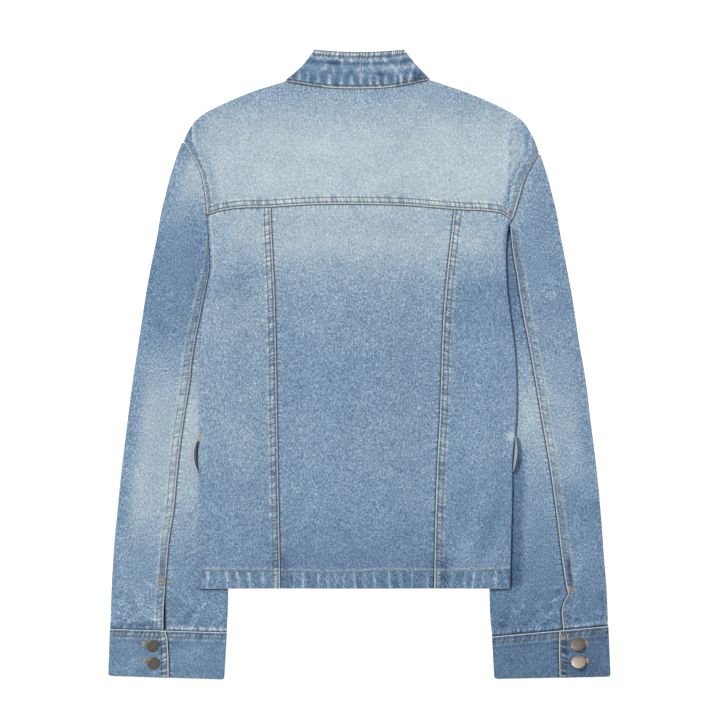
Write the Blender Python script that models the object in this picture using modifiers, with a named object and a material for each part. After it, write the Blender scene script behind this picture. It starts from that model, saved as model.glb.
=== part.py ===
"""A denim jacket laid flat on its front, back up, with its sleeves tucked under its sides.

+Y runs from the hem to the collar, +Z is up, and the origin is on the surface it lies on.
"Left" and "right" are the wearer's. The tables are in millimetres, the meshes in metres.
"""

import math

import bmesh
import bpy
import numpy as np

MM = 0.001

# Cloth walls, and how the layers lie on each other
CLOTH = 1.2
CUFF_CLOTH = 1.6
COLLAR_CLOTH = 1.8
GAP = 0.3
LOWER = CLOTH / 2
SEAM_GAP = 0.6
LAYER = CLOTH + GAP
UPPER = LOWER + LAYER
SLEEVE_RISE = 2 * LAYER

# Seam lines of the body, level by level: the two side edges and the two back panel seams
BODY = [
    # y, left edge, left panel seam, right panel seam, right edge
    (-268.4, -191.0, -94.7, 90.0, 181.0),
    (-200.0, -191.9, -95.9, 91.0, 182.6),
    (-150.0, -192.2, -96.9, 92.5, 183.8),
    (-115.0, -191.8, -97.6, 93.9, 183.9),
    (-66.0, -191.6, -98.4, 96.6, 188.5),
    (-17.0, -191.4, -99.2, 98.4, 188.9),
    (27.0, -189.8, -99.9, 99.7, 185.9),
    (63.0, -187.4, -100.8, 101.6, 181.0),
    (97.0, -181.6, -101.9, 104.2, 177.2),
    (118.5, -178.2, -103.0, 106.4, 176.4),
    (140.0, -179.2, -104.1, 108.8, 176.5),
    (168.0, -181.2, -105.4, 112.1, 179.6),
    (195.0, -183.0, -106.3, 115.0, 188.6),
]

# The armhole seams of the back, from the underarm to the shoulder
ARMHOLE_LEFT = [
    # y, x
    (118.5, -178.2),
    (150.0, -180.0),
    (180.0, -182.4),
    (198.5, -183.4),
    (216.0, -185.8),
    (228.0, -188.4),
    (239.0, -193.3),
    (253.3, -201.8),
    (268.0, -210.6),
]
ARMHOLE_RIGHT = [
    # y, x
    (168.0, 179.6),
    (175.0, 182.4),
    (202.6, 190.9),
    (222.8, 196.6),
    (239.3, 205.6),
    (254.0, 215.6),
]
FRONT_SCOOP = 8.0

# Seam lines that run across, each as x, y
YOKE_SEAM = [
    (-186.0, 178.6),
    (-172.0, 183.4),
    (-155.0, 186.4),
    (-106.0, 187.9),
    (-51.0, 191.0),
    (4.0, 191.9),
    (59.0, 190.1),
    (112.0, 185.6),
    (145.0, 184.4),
    (169.0, 180.6),
    (188.0, 171.5),
]
SHOULDER_LEFT = [
    (-210.6, 268.0),
    (-205.4, 279.3),
    (-199.4, 288.9),
    (-189.8, 298.5),
    (-173.0, 308.1),
    (-152.6, 317.7),
    (-128.6, 327.3),
    (-88.5, 339.8),
]
SHOULDER_RIGHT = [
    (215.6, 254.0),
    (209.8, 269.7),
    (205.0, 279.3),
    (199.0, 288.9),
    (188.2, 298.5),
    (171.4, 308.1),
    (151.0, 317.7),
    (127.0, 327.3),
    (84.5, 341.6),
]
BACK_NECK = [(-88.5, 339.8), (-45.0, 333.4), (0.0, 331.7), (45.0, 334.2), (84.5, 341.6)]
COLLAR_TOP = [(-53.4, 377.9), (-25.0, 375.8), (0.0, 375.1), (25.0, 375.8), (53.0, 377.8)]
HEM_Y = -268.4
YOKE_SEAM_END_YS = {"left": 178.0, "right": 174.0}
ARMHOLE_BOW_POWER = 4

# Where the back eases over what lies under it: the two ends of each rise or fall
NECK_RISE = 0.9
NECK_RISE_YS = (236.0, 258.0)
NECK_FALL_XS = (100.0, 140.0)
OPENING_FALL_XS = (24.0, 80.0)
OPENING_SETTLE = 0.5
OPENING_SETTLE_YS = (258.0, 300.0)
OPENING_END_YS = (304.0, 328.0)
BACK_DRAPE_DEPTHS = (52.0, 12.0)

# Front opening, under the back: the left front laps over the right one
FRONT_NECK_Y = 265.0
FRONT_LAP = 15.0
FRONT_LAP_LAYER = LAYER + 0.4
FRONT_BUTTON_RISE = 1.9
FRONT_BUTTON_CLEAR = 0.1
FRONT_RISE_END_YS = (236.0, 264.0)
FRONT_CORNER_Y = FRONT_NECK_Y + 0.8
LAP_FALL_XS = (FRONT_LAP + 2.0, FRONT_LAP + 28.0)
FRONT_DRAPE_DEPTHS = (24.0, 3.0)
FRONT_DRAPE_STEPS = (2.5, 13.5, 24.5)
FRONT_NECK_SHARES = (1.0, 0.975, 0.905, 0.78, 0.60, 0.41, 0.215, 0.0)
FRONT_BUTTON_YS = (226.0, 135.0, 44.0, -47.0, -138.0, -229.0)

# Collar: how far its folded sides curve in, and how one end laps over the other
COLLAR_WAIST = {"left": 3.6, "right": 1.2}
COLLAR_LAP_LAYER = LAYER + 0.2
COLLAR_LAP_FALL_XS = (8.0, 34.0)

# Sleeves, from the cuff up: the outer fold, the back seam, and the inner fold below the underarm
SLEEVE_LEFT = [
    # y, outer fold, back seam, inner fold
    (-318.0, -298.5, -232.4, -159.4),
    (-268.0, -296.6, -232.5, -157.6),
    (-240.0, -295.2, -230.6, -158.6),
    (-211.0, -293.2, -228.1, -159.8),
    (-176.0, -289.8, -222.6, -161.5),
    (-122.0, -284.3, -217.4, -164.8),
    (-76.0, -278.6, -211.8, -167.8),
    (-18.0, -271.2, -202.8, -173.0),
    (6.0, -267.5, -200.3, -174.5),
    (30.0, -263.8, -196.6, -176.0),
    (55.0, -260.0, -191.9, -177.0),
    (78.0, -256.5, -188.0, -177.0),
    (97.0, -253.4, -184.2, -175.0),
    (116.0, -249.9, -179.8, -173.0),
]
SLEEVE_LEFT_TOP = [
    # y, outer fold
    (116.0, -249.9),
    (154.5, -242.0),
    (183.3, -237.1),
    (202.5, -232.3),
    (221.7, -227.5),
    (240.9, -221.6),
    (260.1, -214.8),
    (266.0, -212.2),
]
SLEEVE_RIGHT = [
    # y, outer fold, back seam, inner fold
    (-314.0, 298.2, 244.2, 159.8),
    (-278.0, 296.8, 245.0, 157.0),
    (-262.0, 295.9, 248.8, 156.6),
    (-225.0, 292.8, 244.2, 158.4),
    (-186.0, 290.0, 238.6, 160.2),
    (-124.0, 284.2, 229.0, 163.4),
    (-66.0, 277.0, 219.1, 166.8),
    (-17.0, 271.0, 210.9, 170.0),
    (24.0, 263.8, 203.6, 171.6),
    (60.0, 258.3, 196.4, 172.0),
    (84.0, 254.6, 192.4, 171.0),
    (108.0, 250.1, 189.0, 169.0),
    (132.0, 245.6, 185.6, 168.0),
    (165.0, 239.2, 181.8, 167.0),
]
SLEEVE_RIGHT_TOP = [
    # y, outer fold
    (165.0, 239.2),
    (183.3, 236.2),
    (202.5, 231.4),
    (221.7, 226.6),
    (240.9, 220.6),
    (252.0, 216.8),
]
SLEEVE_SLOPE_END_YS = (-300.0, -120.0)
FRONT_SEAM_SHARE = 0.45
FRONT_SEAM_RUN = 12.0
SLIT_TOP_Y = -259.0
SLIT_LENGTH = 50.0
SLIT_OPEN = {"left": 2.4, "right": 0.6}
# Each sleeve's inner half ends at this height, and below it lies under the side of the body
TUCK_TOP = {"left": 107.0, "right": 158.0}
UNDERARM = {"left": 118.5, "right": 168.0}
UNDERARM_CLEAR = 1.5

# Cuffs: where the band's corners lie, and its lapped end on the outer half
CUFFS = {
    "left": {
        "outer": ((-298.6, -317.6), (-300.6, -373.3)),
        "inner": ((-159.4, -322.0), (-162.4, -377.6)),
        "lap_edge": (-232.0, -228.0),
        "lap_under": -262.0,
        "buttons": ((-247.3, -336.7), (-247.0, -358.1)),
    },
    "right": {
        "outer": ((298.4, -314.4), (300.8, -374.2)),
        "inner": ((159.8, -327.0), (162.4, -377.0)),
        "lap_edge": (240.4, 240.4),
        "lap_under": 277.0,
        "buttons": ((261.8, -335.6), (262.7, -356.8)),
    },
}
LAP_RAMP = (14.0, 3.0)
BUTTON_RADIUS = 8.25

# Belt loops: narrow strips standing on edge beside the side seams
LOOPS = {
    "left": {"top": -83.0, "bottom": -127.0, "bulge": 3.2, "lean": 0.4, "cloth": 3.0},
    "right": {"top": -85.5, "bottom": -128.5, "bulge": 1.8, "lean": 3.4, "cloth": 2.0},
}
LOOP_WIDTH = 7.0

# How finely the cloth is divided
BODY_ROWS = 9
UNDERARM_ROWS = 3
YOKE_SEAM_ROWS = {"left": 3, "right": 1}
SLEEVE_ROWS = 11
ARMHOLE_ROWS = 8
FOLD_STEPS = 4
MERGE_DISTANCE = 0.01


def smooth_step(start, end, value):
    share = min(max((value - start) / (end - start), 0.0), 1.0)
    return share * share * (3 - 2 * share)


def along(rows, column=1):
    """A smooth curve through the rows of a table, as a function of the first column."""
    rows = sorted(rows)
    xs = np.array([row[0] for row in rows])
    ys = np.array([row[column] for row in rows])
    slopes = np.gradient(ys, xs)

    def value(x):
        k = int(np.clip(np.searchsorted(xs, x) - 1, 0, len(xs) - 2))
        span = xs[k + 1] - xs[k]
        t = min(max((x - xs[k]) / span, 0.0), 1.0)
        start = (1 + 2 * t) * (1 - t) ** 2 * ys[k] + t * (1 - t) ** 2 * span * slopes[k]
        end = t * t * (3 - 2 * t) * ys[k + 1] + t * t * (t - 1) * span * slopes[k + 1]
        return start + end

    return value


def mix(a, b, share):
    return a + (b - a) * share


def spread(start, end, steps):
    return [mix(start, end, k / steps) for k in range(steps + 1)]


BODY_EDGES = {"left": along(BODY, 1), "right": along(BODY, 4)}
PANEL_SEAMS = {"left": along(BODY, 2), "right": along(BODY, 3)}
ARMHOLES = {"left": along(ARMHOLE_LEFT), "right": along(ARMHOLE_RIGHT)}
SHOULDERS = {"left": along(SHOULDER_LEFT), "right": along(SHOULDER_RIGHT)}
YOKE_SEAM_Y = along(YOKE_SEAM)
BACK_NECK_Y = along(BACK_NECK)
COLLAR_TOP_Y = along(COLLAR_TOP)
SLEEVES = {"left": SLEEVE_LEFT, "right": SLEEVE_RIGHT}
INNER_FOLDS = {side: along(rows, 3) for side, rows in SLEEVES.items()}
BACK_SEAMS = {side: along(rows, 2) for side, rows in SLEEVES.items()}
OUTER_FOLDS = {
    "left": along([row[:2] for row in SLEEVE_LEFT] + SLEEVE_LEFT_TOP[1:]),
    "right": along([row[:2] for row in SLEEVE_RIGHT] + SLEEVE_RIGHT_TOP[1:]),
}
OUTWARD = {"left": -1.0, "right": 1.0}


def back_edge(side, y):
    """The outer edge of the back: the side edge, then the armhole."""
    if y > UNDERARM[side]:
        return ARMHOLES[side](y)
    return BODY_EDGES[side](y)


def shoulder_tip(side):
    return SHOULDER_LEFT[0] if side == "left" else SHOULDER_RIGHT[0]


def armhole_levels(side):
    return spread(UNDERARM[side], shoulder_tip(side)[1], ARMHOLE_ROWS)


def body_levels(side):
    """Heights of the rows across the body below the underarm."""
    below = spread(HEM_Y, TUCK_TOP[side], BODY_ROWS)
    return below + spread(TUCK_TOP[side], UNDERARM[side], UNDERARM_ROWS)[1:]


def front_edge(side, y):
    """The outer edge of a front: like the back's, with a deeper armhole."""
    tip_y = shoulder_tip(side)[1]
    share = min(max((y - UNDERARM[side]) / (tip_y - UNDERARM[side]), 0.0), 1.0)
    return back_edge(side, y) - OUTWARD[side] * FRONT_SCOOP * math.sin(math.pi * share)


def side_rise(x, y, depths):
    """How far the body is lifted where a sleeve lies under its side, from 0 to 1."""
    side = "left" if x < 0 else "right"
    inside = OUTWARD[side] * (INNER_FOLDS[side](min(y, TUCK_TOP[side])) - x)
    return smooth_step(*depths, inside) * smooth_step(UNDERARM[side], TUCK_TOP[side], y)


def front_z(side, x, y):
    """Height of a front's middle layer. The right front lies on the left one at the opening."""
    opening = 1 - smooth_step(*LAP_FALL_XS, OUTWARD[side] * x)
    rise = FRONT_BUTTON_RISE * (1 - smooth_step(*FRONT_RISE_END_YS, y))
    if side == "right":
        rise += FRONT_LAP_LAYER
    return LOWER + rise * opening + SLEEVE_RISE * side_rise(x, y, FRONT_DRAPE_DEPTHS)


def back_z(x, y):
    """Height of the back's middle layer, over the fronts, the sleeves and the collar."""
    neck = smooth_step(*NECK_RISE_YS, y) * (1 - smooth_step(*NECK_FALL_XS, abs(x)))
    opening = 1 - smooth_step(*OPENING_FALL_XS, abs(x))
    opening *= 1 - OPENING_SETTLE * smooth_step(*OPENING_SETTLE_YS, y)
    opening *= 1 - smooth_step(*OPENING_END_YS, y)
    rise = (FRONT_BUTTON_RISE + FRONT_LAP_LAYER + FRONT_BUTTON_CLEAR) * opening
    return UPPER + NECK_RISE * neck + rise + SLEEVE_RISE * side_rise(x, y, BACK_DRAPE_DEPTHS)


def grid_object(name, points, wall, material):
    """A cloth panel: a grid of points in millimetres, given a wall."""
    rows, columns = len(points), len(points[0])
    mesh = bmesh.new()
    bmesh.ops.create_grid(mesh, x_segments=columns - 1, y_segments=rows - 1, size=1.0)
    ordered = sorted(mesh.verts, key=lambda v: (round(v.co.y, 5), round(v.co.x, 5)))
    for index, vert in enumerate(ordered):
        x, y, z = points[index // columns][index % columns]
        vert.co = (x * MM, y * MM, z * MM)
    data = bpy.data.meshes.new(name)
    mesh.to_mesh(data)
    mesh.free()
    data.shade_smooth()
    panel = bpy.data.objects.new(name, data)
    JACKET.objects.link(panel)
    solid = panel.modifiers.new("wall", "SOLIDIFY")
    solid.thickness = wall * MM
    solid.offset = 0.0
    solid.use_even_offset = True
    panel.data.materials.append(material)
    return panel


def finish(name, colour, roughness, metallic=0.0):
    material = bpy.data.materials.new(name)
    material.use_nodes = True
    shader = material.node_tree.nodes["Principled BSDF"]
    shader.inputs["Base Color"].default_value = (*colour, 1.0)
    shader.inputs["Roughness"].default_value = roughness
    shader.inputs["Metallic"].default_value = metallic
    return material


def back_panel(name, left, right, side, columns, material):
    """A back panel between two edges, from the hem to the yoke seam."""
    rows = [(level, 0.0) for level in body_levels(side)]
    rows += [(UNDERARM[side], share) for share in spread(0.0, 1.0, YOKE_SEAM_ROWS[side])[1:]]
    points = []
    for level, share in rows:
        row = []
        for u in spread(0.0, 1.0, columns):
            y = level
            for _ in range(3):
                x = mix(left(y), right(y), u)
                y = mix(level, YOKE_SEAM_Y(x) - SEAM_GAP, share)
            row.append((x, y, back_z(x, y)))
        points.append(row)
    return grid_object(name, points, CLOTH, material)


def build_back(material):
    """The centre panel and the two side panels, a gap apart along their seams."""

    def edge(side):
        return lambda y: back_edge(side, y)

    def seam(side, shift):
        return lambda y: PANEL_SEAMS[side](y) + shift

    half = GAP / 2
    back_panel("back_side_left", edge("left"), seam("left", -half), "left", 8, material)
    back_panel("back_centre", seam("left", half), seam("right", -half), "left", 10, material)
    back_panel("back_side_right", seam("right", half), edge("right"), "right", 8, material)


def build_yoke(material):
    """The yoke, from the seam across the back up to the shoulders and the neck."""
    left_neck, right_neck = BACK_NECK[0][0], BACK_NECK[-1][0]
    left_tip, right_tip = SHOULDER_LEFT[0], SHOULDER_RIGHT[0]
    left_x, right_x = (ARMHOLES[side](y) for side, y in YOKE_SEAM_END_YS.items())
    bottom, top = [], []
    for u in spread(0.0, 1.0, 7)[:-1]:
        x = mix(left_tip[0], left_neck, u)
        bottom.append(mix(left_x, left_neck, u))
        top.append((x, SHOULDERS["left"](x)))
    for x in spread(left_neck, right_neck, 8):
        bottom.append(x)
        top.append((x, BACK_NECK_Y(x)))
    for u in spread(0.0, 1.0, 7)[1:]:
        x = mix(right_neck, right_tip[0], u)
        bottom.append(mix(right_neck, right_x, u))
        top.append((x, SHOULDERS["right"](x)))
    last = len(bottom) - 1
    points = []
    for v in spread(0.0, 1.0, 7):
        row = []
        left_y = mix(YOKE_SEAM_Y(left_x), left_tip[1], v)
        right_y = mix(YOKE_SEAM_Y(right_x), right_tip[1], v)
        bow_left = ARMHOLES["left"](left_y) - mix(left_x, left_tip[0], v)
        bow_right = ARMHOLES["right"](right_y) - mix(right_x, right_tip[0], v)
        for k in range(last + 1):
            share = k / last
            x = mix(bottom[k], top[k][0], v)
            x += bow_left * (1 - share) ** ARMHOLE_BOW_POWER
            x += bow_right * share**ARMHOLE_BOW_POWER
            y = mix(YOKE_SEAM_Y(bottom[k]), top[k][1], v)
            row.append((x, y, back_z(x, y)))
        points.append(row)
    return grid_object("back_yoke", points, CLOTH, material)


def neck_corner(side):
    return BACK_NECK[0] if side == "left" else BACK_NECK[-1]


def neck_drop(side):
    return neck_corner(side)[1] - FRONT_NECK_Y


def neck_line(side, share):
    """A point of the front neckline. A share of 1 is the neck corner and 0 the centre front."""
    corner_x, corner_y = neck_corner(side)
    return corner_x * share, corner_y - neck_drop(side) * math.sqrt(1 - share * share)


def front_columns(side, y):
    """The columns of a front's row. The outer ones follow the sleeve under them."""
    edge = front_edge(side, y)
    covered = min(y, TUCK_TOP[side])
    tucked = OUTWARD[side] * (BODY_EDGES[side](covered) - INNER_FOLDS[side](covered))
    outer = [edge - OUTWARD[side] * (tucked + step) for step in FRONT_DRAPE_STEPS]
    middle = mix(outer[-1], neck_line(side, 1.0)[0], 0.5)
    toward_centre = [neck_line(side, share)[0] for share in FRONT_NECK_SHARES]
    return [edge] + outer + [middle] + toward_centre + [-OUTWARD[side] * FRONT_LAP]


def build_front(side, material):
    """A front, from the hem to the shoulder and the neckline."""
    tip_x, tip_y = shoulder_tip(side)
    underarm = UNDERARM[side]
    shoulder_xs = spread(tip_x, neck_line(side, 1.0)[0], 5)[:-1]
    top = [(x, SHOULDERS[side](x)) for x in shoulder_xs]
    top += [neck_line(side, share) for share in FRONT_NECK_SHARES]
    top.append((-OUTWARD[side] * FRONT_LAP, FRONT_CORNER_Y))
    points = [[(x, y) for x in front_columns(side, y)] for y in body_levels(side)]
    widest = points[-1]
    for level in armhole_levels(side)[1:]:
        share = (level - underarm) / (tip_y - underarm)
        bow = front_edge(side, level) - mix(widest[0][0], tip_x, share)
        row = []
        for k, (low, high) in enumerate(zip(widest, top)):
            reach = max(1 - k / len(shoulder_xs), 0.0)
            row.append((mix(low[0], high[0], share) + bow * reach, mix(low[1], high[1], share)))
        points.append(row)
    points = [[(x, y, front_z(side, x, y)) for x, y in row] for row in points]
    if side == "right":
        points = [row[::-1] for row in points]
    return grid_object("front_" + side, points, CLOTH, material)


def fold(edge, low_z, high_z, outward):
    """The rounded turn of a fold, from its upper layer to its lower one."""
    x, y = edge
    radius = (high_z - low_z) / 2
    turn = []
    for angle in spread(math.pi / 2, -math.pi / 2, FOLD_STEPS):
        reach = radius * (math.cos(angle) - 1)
        turn.append((x + outward * reach, y, (low_z + high_z) / 2 + radius * math.sin(angle)))
    return turn


def sleeve_slope(side, y):
    """How far a section across the sleeve tilts, so that the lowest one follows the cuff."""
    cuff = CUFFS[side]
    (outer_x, outer_y), (inner_x, inner_y) = cuff["outer"][0], cuff["inner"][0]
    slope = (outer_y - inner_y) / (outer_x - inner_x)
    return slope * (1 - smooth_step(*SLEEVE_SLOPE_END_YS, y))


def sleeve_front_seam(side, y):
    """The sleeve's front seam in the lower layer, then the front's armhole."""
    armhole_x = front_edge(side, y) + OUTWARD[side] * SEAM_GAP
    below_x = mix(BACK_SEAMS[side](y), INNER_FOLDS[side](y), FRONT_SEAM_SHARE)
    share = smooth_step(TUCK_TOP[side] - FRONT_SEAM_RUN, TUCK_TOP[side], y)
    return mix(below_x, armhole_x, share)


def across(side, start_x, end_x, y, z, steps):
    """Points from one x to another in a section of the sleeve."""
    outer_x, slope = OUTER_FOLDS[side](y), sleeve_slope(side, y)
    return [(x, y + slope * (x - outer_x), z) for x in spread(start_x, end_x, steps)]


def sleeve_levels(side):
    """Heights of the sleeve's sections below the underarm, and beside the armhole."""
    top_rows = SLEEVE_LEFT_TOP if side == "left" else SLEEVE_RIGHT_TOP
    cuff_top = CUFFS[side]["outer"][0][1] + 2 * GAP
    lower = spread(cuff_top, TUCK_TOP[side], SLEEVE_ROWS)
    lower += spread(TUCK_TOP[side], SLEEVES[side][-1][0], UNDERARM_ROWS)[1:]
    beside = armhole_levels(side)
    upper = [beside[0] + UNDERARM_CLEAR] + beside[1:-1] + [top_rows[-1][0]]
    return lower, upper


def slit(side, y):
    """The back seam stands open from its tack down to the cuff."""
    depth = smooth_step(SLIT_TOP_Y, SLIT_TOP_Y - SLIT_LENGTH, y)
    return GAP + (SLIT_OPEN[side] - GAP) * depth


def build_sleeve_top(side, material):
    """The outer half of a sleeve, wrapped round its outer fold."""
    out = OUTWARD[side]
    lower, upper = sleeve_levels(side)
    points = []
    for y in lower + upper:
        outer_x = OUTER_FOLDS[side](y)
        if y > UNDERARM[side]:
            seam_x = back_edge(side, y) + out * SEAM_GAP
        else:
            seam_x = BACK_SEAMS[side](y) + out * slit(side, y)
        under_x = sleeve_front_seam(side, y) + out * GAP
        turn = (UPPER - LOWER) / 2
        row = across(side, seam_x, outer_x - out * turn, y, UPPER, 4)[:-1]
        row += fold((outer_x, y), LOWER, UPPER, out)
        row += across(side, outer_x - out * turn, under_x, y, LOWER, 4)[1:]
        points.append(row if side == "right" else row[::-1])
    return grid_object("sleeve_top_" + side, points, CLOTH, material)


def build_sleeve_under(side, material):
    """The inner half of a sleeve, wrapped round the fold that lies under the body."""
    out = OUTWARD[side]
    lower, _ = sleeve_levels(side)
    points = []
    for y in lower[:-UNDERARM_ROWS]:
        inner_x = INNER_FOLDS[side](y)
        seam_x = BACK_SEAMS[side](y)
        under_x = sleeve_front_seam(side, y)
        turn = (UPPER - LOWER) / 2
        slope = sleeve_slope(side, y)
        inner_y = y + slope * (inner_x - OUTER_FOLDS[side](y))
        row = across(side, seam_x, inner_x + out * turn, y, UPPER, 3)[:-1]
        row += fold((inner_x, inner_y), LOWER, UPPER, -out)
        row += across(side, inner_x + out * turn, under_x, y, LOWER, 3)[1:]
        points.append(row if side == "left" else row[::-1])
    return grid_object("sleeve_under_" + side, points, CLOTH, material)


def build_cuff(side, material):
    """A band round the wrist, whose outer half laps over its inner half."""
    cuff, out = CUFFS[side], OUTWARD[side]
    low = CUFF_CLOTH / 2
    layer = CUFF_CLOTH + GAP
    middle, high = low + layer, low + 2 * layer
    turn = layer / 2
    points = []
    for v in spread(0.0, 1.0, 2):
        outer_x, outer_y = (mix(a, b, v) for a, b in zip(*cuff["outer"]))
        inner_x, inner_y = (mix(a, b, v) for a, b in zip(*cuff["inner"]))
        edge_x = mix(*cuff["lap_edge"], v)
        under_x = cuff["lap_under"]
        ramp_low, ramp_high = (under_x + out * run_length for run_length in LAP_RAMP)

        def run(start_x, end_x, start_z, end_z, steps):
            line = []
            for u in spread(0.0, 1.0, steps):
                x = mix(start_x, end_x, u)
                y = mix(inner_y, outer_y, (x - inner_x) / (outer_x - inner_x))
                line.append((x, y, mix(start_z, end_z, u)))
            return line

        row = run(under_x, inner_x + out * turn, middle, middle, 4)[:-1]
        row += fold((inner_x, inner_y), low, middle, -out)
        row += run(inner_x + out * turn, outer_x - out * turn, low, low, 5)[1:-1]
        row += fold((outer_x, outer_y), low, middle, out)[::-1]
        row += run(outer_x - out * turn, ramp_low, middle, middle, 1)[1:-1]
        row += run(ramp_low, ramp_high, middle, high, 1)
        row += run(ramp_high, edge_x, high, high, 3)[1:]
        points.append(row if side == "left" else row[::-1])
    return grid_object("cuff_" + side, points, CUFF_CLOTH, material)


def collar_side(side, v):
    """The folded side of the collar, from its foot to its top."""
    foot = neck_corner(side)
    top = COLLAR_TOP[0] if side == "left" else COLLAR_TOP[-1]
    waist = COLLAR_WAIST[side] * math.sin(math.pi * v)
    return mix(foot[0], top[0], v) - OUTWARD[side] * waist, mix(foot[1] + SEAM_GAP, top[1], v)


def collar_front(side, v, z):
    """The front half of a level of the collar, from centre front to the fold."""
    side_x, side_y = collar_side(side, v)
    line = []
    for share in reversed(FRONT_NECK_SHARES[1:]):
        x = side_x * share + OUTWARD[side] * GAP / 2 * (1 - share)
        y = side_y - neck_drop(side) * math.sqrt(1 - share * share)
        lap = 1 - smooth_step(*COLLAR_LAP_FALL_XS, abs(x))
        line.append((x, y, z + COLLAR_LAP_LAYER * lap if side == "right" else z))
    return line


def build_collar(material):
    """A stand band round the neck, folded flat at both sides, with its ends at centre front."""
    low = COLLAR_CLOTH / 2
    high = UPPER + NECK_RISE
    points = []
    for v in spread(0.0, 1.0, 3):
        left, right = collar_side("left", v), collar_side("right", v)
        row = collar_front("left", v, low) + fold(left, low, high, -1.0)[::-1]
        for u in spread(0.0, 1.0, 8)[1:-1]:
            neck_x = mix(BACK_NECK[0][0], BACK_NECK[-1][0], u)
            top_x = mix(COLLAR_TOP[0][0], COLLAR_TOP[-1][0], u)
            y = mix(BACK_NECK_Y(neck_x) + SEAM_GAP, COLLAR_TOP_Y(top_x), v)
            row.append((mix(left[0], right[0], u), y, high))
        row += fold(right, low, high, 1.0) + collar_front("right", v, low)[::-1]
        points.append(row)
    return grid_object("collar", points, COLLAR_CLOTH, material)


def build_loop(side, material):
    """A belt loop, sewn at both ends and bulging from the side seam between them."""
    loop, out = LOOPS[side], OUTWARD[side]
    bottom_z = 2 * LAYER + 2 * GAP
    points = []
    for height in (0.0, 0.5, 1.0):
        row = []
        for share in spread(0.0, 1.0, 8):
            y = mix(loop["bottom"], loop["top"], share)
            bow = loop["bulge"] * math.sin(math.pi * share)
            reach = SEAM_GAP + loop["cloth"] / 2 + bow + loop["lean"] * height
            row.append((BODY_EDGES[side](y) + out * reach, y, bottom_z + LOOP_WIDTH * height))
        points.append(row)
    return grid_object("loop_" + side, points, loop["cloth"], material)


def build_button(name, profile, place, steps, material):
    """A turned metal button cap."""
    data = bpy.data.meshes.new(name)
    outline = bmesh.new()
    verts = [outline.verts.new((radius * MM, 0.0, z * MM)) for radius, z in profile]
    for start, end in zip(verts, verts[1:]):
        outline.edges.new((start, end))
    outline.to_mesh(data)
    outline.free()
    button = bpy.data.objects.new(name, data)
    button.location = (place[0] * MM, place[1] * MM, place[2] * MM)
    JACKET.objects.link(button)
    turn = button.modifiers.new("turn", "SCREW")
    turn.steps = turn.render_steps = steps
    turn.use_merge_vertices = True
    turn.merge_threshold = MERGE_DISTANCE * MM
    turn.use_smooth_shade = True
    data.materials.append(material)
    return button


# Radius and height of a button's outline, from the middle of its top to the middle of its base
CUFF_BUTTON = [
    (0.0, 2.3),
    (5.6, 2.4),
    (6.6, 3.0),
    (7.5, 2.9),
    (BUTTON_RADIUS, 1.9),
    (7.6, 0.4),
    (0.0, 0.0),
]
FRONT_BUTTON = [(0.0, 1.6), (7.3, 1.6), (BUTTON_RADIUS, 0.9), (7.4, 0.0), (0.0, 0.0)]

for old in list(bpy.data.objects):
    bpy.data.objects.remove(old, do_unlink=True)
JACKET = bpy.data.collections.new("denim_jacket")
bpy.context.scene.collection.children.link(JACKET)

washed_denim = finish("washed denim", (0.24, 0.34, 0.45), 0.9)
darker_denim = finish("darker denim", (0.17, 0.26, 0.38), 0.9)
aged_metal = finish("aged metal", (0.30, 0.28, 0.26), 0.45, 1.0)

build_yoke(washed_denim)
build_back(washed_denim)
build_collar(darker_denim)
cuff_top_z = 3 * CUFF_CLOTH + 3 * GAP
for wearer_side in ("left", "right"):
    build_front(wearer_side, washed_denim)
    build_sleeve_top(wearer_side, washed_denim)
    build_sleeve_under(wearer_side, washed_denim)
    build_cuff(wearer_side, darker_denim)
    build_loop(wearer_side, washed_denim)
    for number, (button_x, button_y) in enumerate(CUFFS[wearer_side]["buttons"], 1):
        cap = f"cuff_button_{wearer_side}_{number}"
        build_button(cap, CUFF_BUTTON, (button_x, button_y, cuff_top_z), 20, aged_metal)
for number, button_y in enumerate(FRONT_BUTTON_YS, 1):
    build_button(f"front_button_{number}", FRONT_BUTTON, (0.0, button_y, 0.0), 16, aged_metal)
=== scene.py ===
"""A washed denim jacket, laid flat on its front with its sleeves tucked under its sides.

The sections follow the jacket as it is sewn: yoke, back panels, fronts, sleeves, cuffs, collar,
loops, buttons and stitching. Tables and sizes are in millimetres, meshes in metres.
"""

import math
from functools import partial

import bmesh
import bpy
import numpy as np
from mathutils import Euler, Matrix, Vector
from mathutils.bvhtree import BVHTree


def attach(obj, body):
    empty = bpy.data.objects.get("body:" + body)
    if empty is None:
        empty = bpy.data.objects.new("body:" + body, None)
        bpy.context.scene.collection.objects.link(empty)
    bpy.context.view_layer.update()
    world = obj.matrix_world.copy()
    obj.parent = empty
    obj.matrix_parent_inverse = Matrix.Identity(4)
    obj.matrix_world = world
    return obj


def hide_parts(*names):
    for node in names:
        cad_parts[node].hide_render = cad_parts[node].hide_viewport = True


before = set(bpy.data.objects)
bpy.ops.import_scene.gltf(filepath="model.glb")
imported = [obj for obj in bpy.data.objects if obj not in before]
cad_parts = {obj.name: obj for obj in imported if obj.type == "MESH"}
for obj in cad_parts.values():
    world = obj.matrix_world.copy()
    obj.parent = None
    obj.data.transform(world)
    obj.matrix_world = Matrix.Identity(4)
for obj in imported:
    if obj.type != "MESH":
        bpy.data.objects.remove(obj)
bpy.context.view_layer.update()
MM = 0.001

# ---------------------------------------------------------------------------------------------
# Yoke: the panel across the shoulders, one piece of stone-washed denim, its pale side out. Its
# lower edge and its armhole edges are turned in and sewn down on their neighbours with two rows.

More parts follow.
